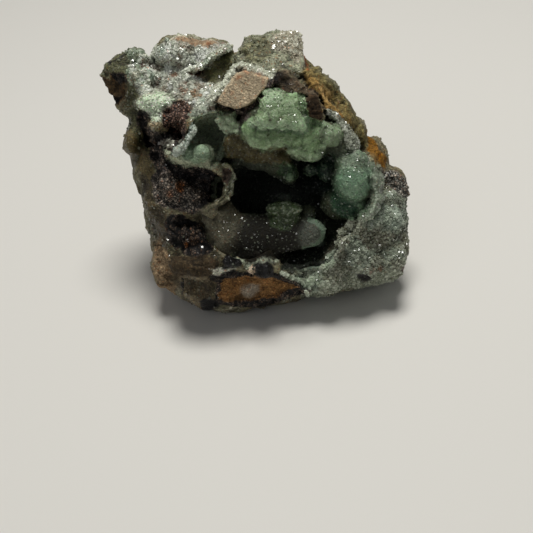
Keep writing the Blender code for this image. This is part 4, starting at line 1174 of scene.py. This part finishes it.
def mineral_ramp(make, value):
    """Grains of black, rust, grey and white."""
    node = make.tree.nodes.new("ShaderNodeValToRGB")
    ramp = node.color_ramp
    ramp.interpolation = "CONSTANT"
    ramp.elements[0].color = (0.08, 0.07, 0.06, 1.0)
    ramp.elements[1].position = 0.14
    ramp.elements[1].color = (0.55, 0.26, 0.14, 1.0)
    for position, shade in ((0.19, 0.40), (0.80, 0.85)):
        ramp.elements.new(position).color = (shade, shade, shade, 1.0)
    make.fill(node, {"Fac": value})
    return node.outputs["Color"]


def crystal_material(name):
    """Glossy crystal in the colours that its mesh carries."""
    make = Recipe(name)
    tint = make.attribute("tint", "Color")
    rough = make.clouds(2500.0, 0.08, 0.25)
    return make.shaded({"Base Color": tint, "Roughness": rough, "IOR": 1.62})


def floor_material(name):
    """Plain pale board."""
    make = Recipe(name)
    pale = (0.74, 0.725, 0.68, 1.0)
    rough = make.clouds(18.0, 0.55, 0.65)
    return make.shaded({"Base Color": pale, "Roughness": rough, "Specular IOR Level": 0.2})


# ---------------------------------------------------------------- the two pieces


def ready(obj, node, specular):
    obj.data.shade_smooth()
    obj.data.materials.append(skin_material(node + "_skin", specular))
    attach(obj, "root")
    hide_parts(node)


def build_rock(rng):
    rock = fused_skin("rock", "matrix", ROCK_VOXEL, rock_shapes(rng))
    surface = painted_rock(rock.data)
    points = read(rock.data)
    foot = smoothstep(0.2, 1.5, points[:, 2] / MM)
    move = read(rock.data, "normal") * (relief(surface) * foot * MM)[:, None]
    write(rock.data, above_floor(points + move))
    thin = rock.modifiers.new("thin", "DECIMATE")
    triangles = sum(len(f.vertices) - 2 for f in rock.data.polygons)
    thin.ratio = min(1.0, ROCK_TRIANGLES / triangles)
    mesh = settled(rock).data
    write(mesh, above_floor(read(mesh)))
    surface = painted_rock(mesh)
    mottle_druse(surface)
    streak(surface)
    colours_with_painted_light(surface, mesh, edges_of(mesh))
    ready(rock, "matrix", 0.25)
    return rock, surface


def gap_to(mesh, points):
    """How free each place is of a mesh, 0 to 1, and the move that closes a narrow gap to it."""
    corners = [tuple(f.vertices) for f in mesh.polygons]
    tree = BVHTree.FromPolygons([v.co for v in mesh.vertices], corners)
    move = np.zeros_like(points)
    free = np.ones(len(points))
    for i, place in enumerate(points):
        hit, _, _, gap = tree.find_nearest(Vector(place), SEARCH_REACH)
        if hit is None:
            continue
        free[i] = min(1.0, gap / FREE_GAP)
        if 0.0 < gap < CLOSED_GAP:
            move[i] = (np.array(hit) - place) / gap * (gap + OVERLAP)
    return free, move


def build_crust(rock, rng):
    crust = fused_skin("smithsonite", "smithsonite_crust", CRUST_VOXEL, crust_shapes(rng))
    mesh = crust.data
    points = read(mesh)
    free, move = gap_to(rock.data, points)
    edges = edges_of(mesh)
    free = relax(free[:, None], edges, 2)[:, 0]
    p = to_face(points)
    # Painted shade: the crust is near-black green where it lies deep in the hollow and turns olive towards
    # the face.
    surface = Surface(p, CAVE_SHADE_GREEN, "satin")
    surface.tint(smoothstep(-5.0, 6.0, p[:, 2]), (62, 68, 50))
    paint_patches(surface, CRUST_LOOKS)
    smooth = smoothstep(-0.5, 0.8, inside(seen(p), OUTLINES["tongue"]))
    large = 0.14 + 0.16 * surface.trait("wax") * smoothstep(8.6, 10.2, p[:, 2])
    h = large * (domes(p, 1.6, 31) - 0.4) * (1.0 - smooth) + 0.05 * (domes(p, 0.7, 32) - 0.5)
    h += relief(surface) * (0.8 - 0.6 * smooth)
    write(mesh, points + move + read(mesh, "normal") * (h * free * MM)[:, None])
    colours_with_painted_light(surface, mesh, edges)
    ready(crust, "smithsonite_crust", 0.35)
    return crust, surface, free


# ---------------------------------------------------------------- loose crystals of the druse

# How many crystals there are, and how wide one usually is.
ROCK_CRYSTALS = (15000, 0.23)
CRUST_CRYSTALS = (3300, 0.15)

RHOMB_HEIGHTS = (-0.8, -1.1, -0.8, -0.5, 0.5, 0.8, 1.1, 0.8)
RHOMB = np.array(
    [(x, y, z) for (x, y), z in zip([(-1, -1), (1, -1), (1, 1), (-1, 1)] * 2, RHOMB_HEIGHTS)]
)
RHOMB_FACES = np.array(
    [[0, 3, 2], [0, 2, 1], [4, 5, 6], [4, 6, 7], [0, 1, 5], [0, 5, 4]]
    + [[1, 2, 6], [1, 6, 5], [2, 3, 7], [2, 7, 6], [3, 0, 4], [3, 4, 7]]
)


def sample_skin(mesh, density, count, rng):
    """Random spots on a mesh, thicker where density is high, with their normals and a vertex
    next to each."""
    mesh.calc_loop_triangles()
    corners = np.empty(len(mesh.loop_triangles) * 3, dtype=np.int64)
    mesh.loop_triangles.foreach_get("vertices", corners)
    corners = corners.reshape(-1, 3)
    points = read(mesh)
    a, b, c = (points[corners[:, k]] for k in range(3))
    cross = np.cross(b - a, c - a)
    area = np.linalg.norm(cross, axis=1)
    weight = area * density[corners].mean(1)
    pick = rng.choice(len(corners), count, p=weight / weight.sum())
    u = rng.random((count, 2))
    flip = u.sum(1) > 1.0
    u[flip] = 1.0 - u[flip]
    spot = a[pick] + (b - a)[pick] * u[:, :1] + (c - a)[pick] * u[:, 1:]
    return spot, cross[pick] / np.maximum(area[pick], 1e-20)[:, None], corners[pick, 0]


def unit(vectors):
    return vectors / np.linalg.norm(vectors, axis=1)[:, None]


def grow_crystals(name, skin, surface, density, crystals, seed):
    """Small rhombs standing on a skin, as one mesh."""
    rng = np.random.default_rng(seed)
    count, typical = crystals
    spots, normals, near = sample_skin(skin.data, density + 1e-6, count, rng)
    sizes = np.minimum(rng.gamma(5.0, typical / 5.0, count), typical * 1.8) * MM
    axis = unit(normals + rng.normal(0.0, 0.5, (count, 3)))
    side = unit(np.cross(axis, rng.normal(0.0, 1.0, (count, 3))))
    axes = (side, np.cross(axis, side), axis)
    points = sum(RHOMB[None, :, k, None] * 0.5 * axes[k][:, None] for k in range(3))
    points = (points * sizes[:, None, None] + spots[:, None]).reshape(-1, 3)
    faces = RHOMB_FACES[None] + (np.arange(count) * 8)[:, None, None]
    mesh = bpy.data.meshes.new(name)
    mesh.from_pydata(above_floor(points).tolist(), [], faces.reshape(-1, 3).tolist())
    pale = rng.uniform(0.0, 0.3, (count, 1))
    colours = surface.colour[near] * (1.0 - pale) + np.array(tone(186, 194, 172)) * pale
    colour_attribute(mesh, "tint", np.repeat(colours, 8, axis=0))
    mesh.materials.append(crystal_material(name + "_facets"))
    obj = link(name, mesh)
    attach(obj, "root")


def build_druse(rock, rock_surface, crust, crust_surface, free):
    out = np.array(FACE_TURN @ Vector((0, 0, 1)))
    facing = smoothstep(-0.4, 0.2, read(rock.data, "normal") @ out)
    density = np.clip(rock_surface.trait("glitter"), 0.0, 1.0) ** 4 * facing
    grow_crystals("druse_on_rock", rock, rock_surface, density, ROCK_CRYSTALS, SEED + 3)
    facing = smoothstep(-0.2, 0.3, read(crust.data, "normal") @ out)
    density = facing * smoothstep(0.5, 0.9, free)
    grow_crystals("druse_on_crust", crust, crust_surface, density, CRUST_CRYSTALS, SEED + 4)


# ---------------------------------------------------------------- stage, light and camera


def build_stage():
    """A pale floor that curves up behind the stone."""
    steps = 24
    verts = []
    for j in range(steps + 1):
        for i in range(steps + 1):
            y = (j / steps - 0.4) * FLOOR_SIZE
            rise = max(0.0, y - FLOOR_BEND)
            verts.append(((i / steps - 0.5) * FLOOR_SIZE, y, rise * rise * 1.8))
    corners = [j * (steps + 1) + i for j in range(steps) for i in range(steps)]
    faces = [(a, a + 1, a + steps + 2, a + steps + 1) for a in corners]
    mesh = bpy.data.meshes.new("floor")
    mesh.from_pydata(verts, [], faces)
    mesh.shade_smooth()
    mesh.materials.append(floor_material("pale_floor"))
    floor = link("floor", mesh)


def area_light(name, place, size, power, colour):
    """A disk light aimed at the middle of the stone."""
    light = bpy.data.lights.new(name, "AREA")
    light.shape = "DISK"
    light.size = size
    light.energy = power
    light.color = colour
    place = Vector(place)
    turn = (Vector((0, 0, 0.015)) - place).to_track_quat("-Z", "Y").to_matrix().to_4x4()
    link(name, light).matrix_world = Matrix.Translation(place) @ turn


def build_lights():
    warm = (1.0, 0.985, 0.95)
    cool = (0.95, 0.97, 1.0)
    area_light("key", (0.03, 0.06, 0.42), size=0.17, power=1.5, colour=warm)
    area_light("fill", (-0.20, -0.26, 0.30), size=0.30, power=0.12, colour=cool)
    world = bpy.data.worlds.new("room")
    bpy.context.scene.world = world
    world.use_nodes = True
    back = world.node_tree.nodes["Background"]
    back.inputs["Color"].default_value = (*cool, 1.0)
    back.inputs["Strength"].default_value = 0.11
    bpy.context.scene.view_settings.view_transform = "Standard"


def build_camera():
    """On the face's axis, rolled with it and aimed a little below the stone's middle."""
    data = bpy.data.cameras.new("camera")
    data.sensor_width = 36.0
    data.lens = 56.74
    data.clip_start = 0.005
    data.clip_end = 10.0
    elevation = math.radians(CAMERA_ELEVATION)
    back = Vector((0.0, -math.cos(elevation), math.sin(elevation))) * (EYE * MM)
    middle = Vector((0, 0, CENTRE_HEIGHT * MM))
    turn = Matrix.Identity(4)
    for degrees, axis in CAMERA_TURNS:
        turn = turn @ Matrix.Rotation(math.radians(degrees), 4, axis)
    camera = link("camera", data)
    camera.matrix_world = Matrix.Translation(middle + back) @ turn
    bpy.context.scene.camera = camera


def main():
    rng = np.random.default_rng(SEED)
    rock, rock_surface = build_rock(rng)
    crust, crust_surface, free = build_crust(rock, rng)
    build_druse(rock, rock_surface, crust, crust_surface, free)
    build_stage()
    build_lights()
    build_camera()


main()
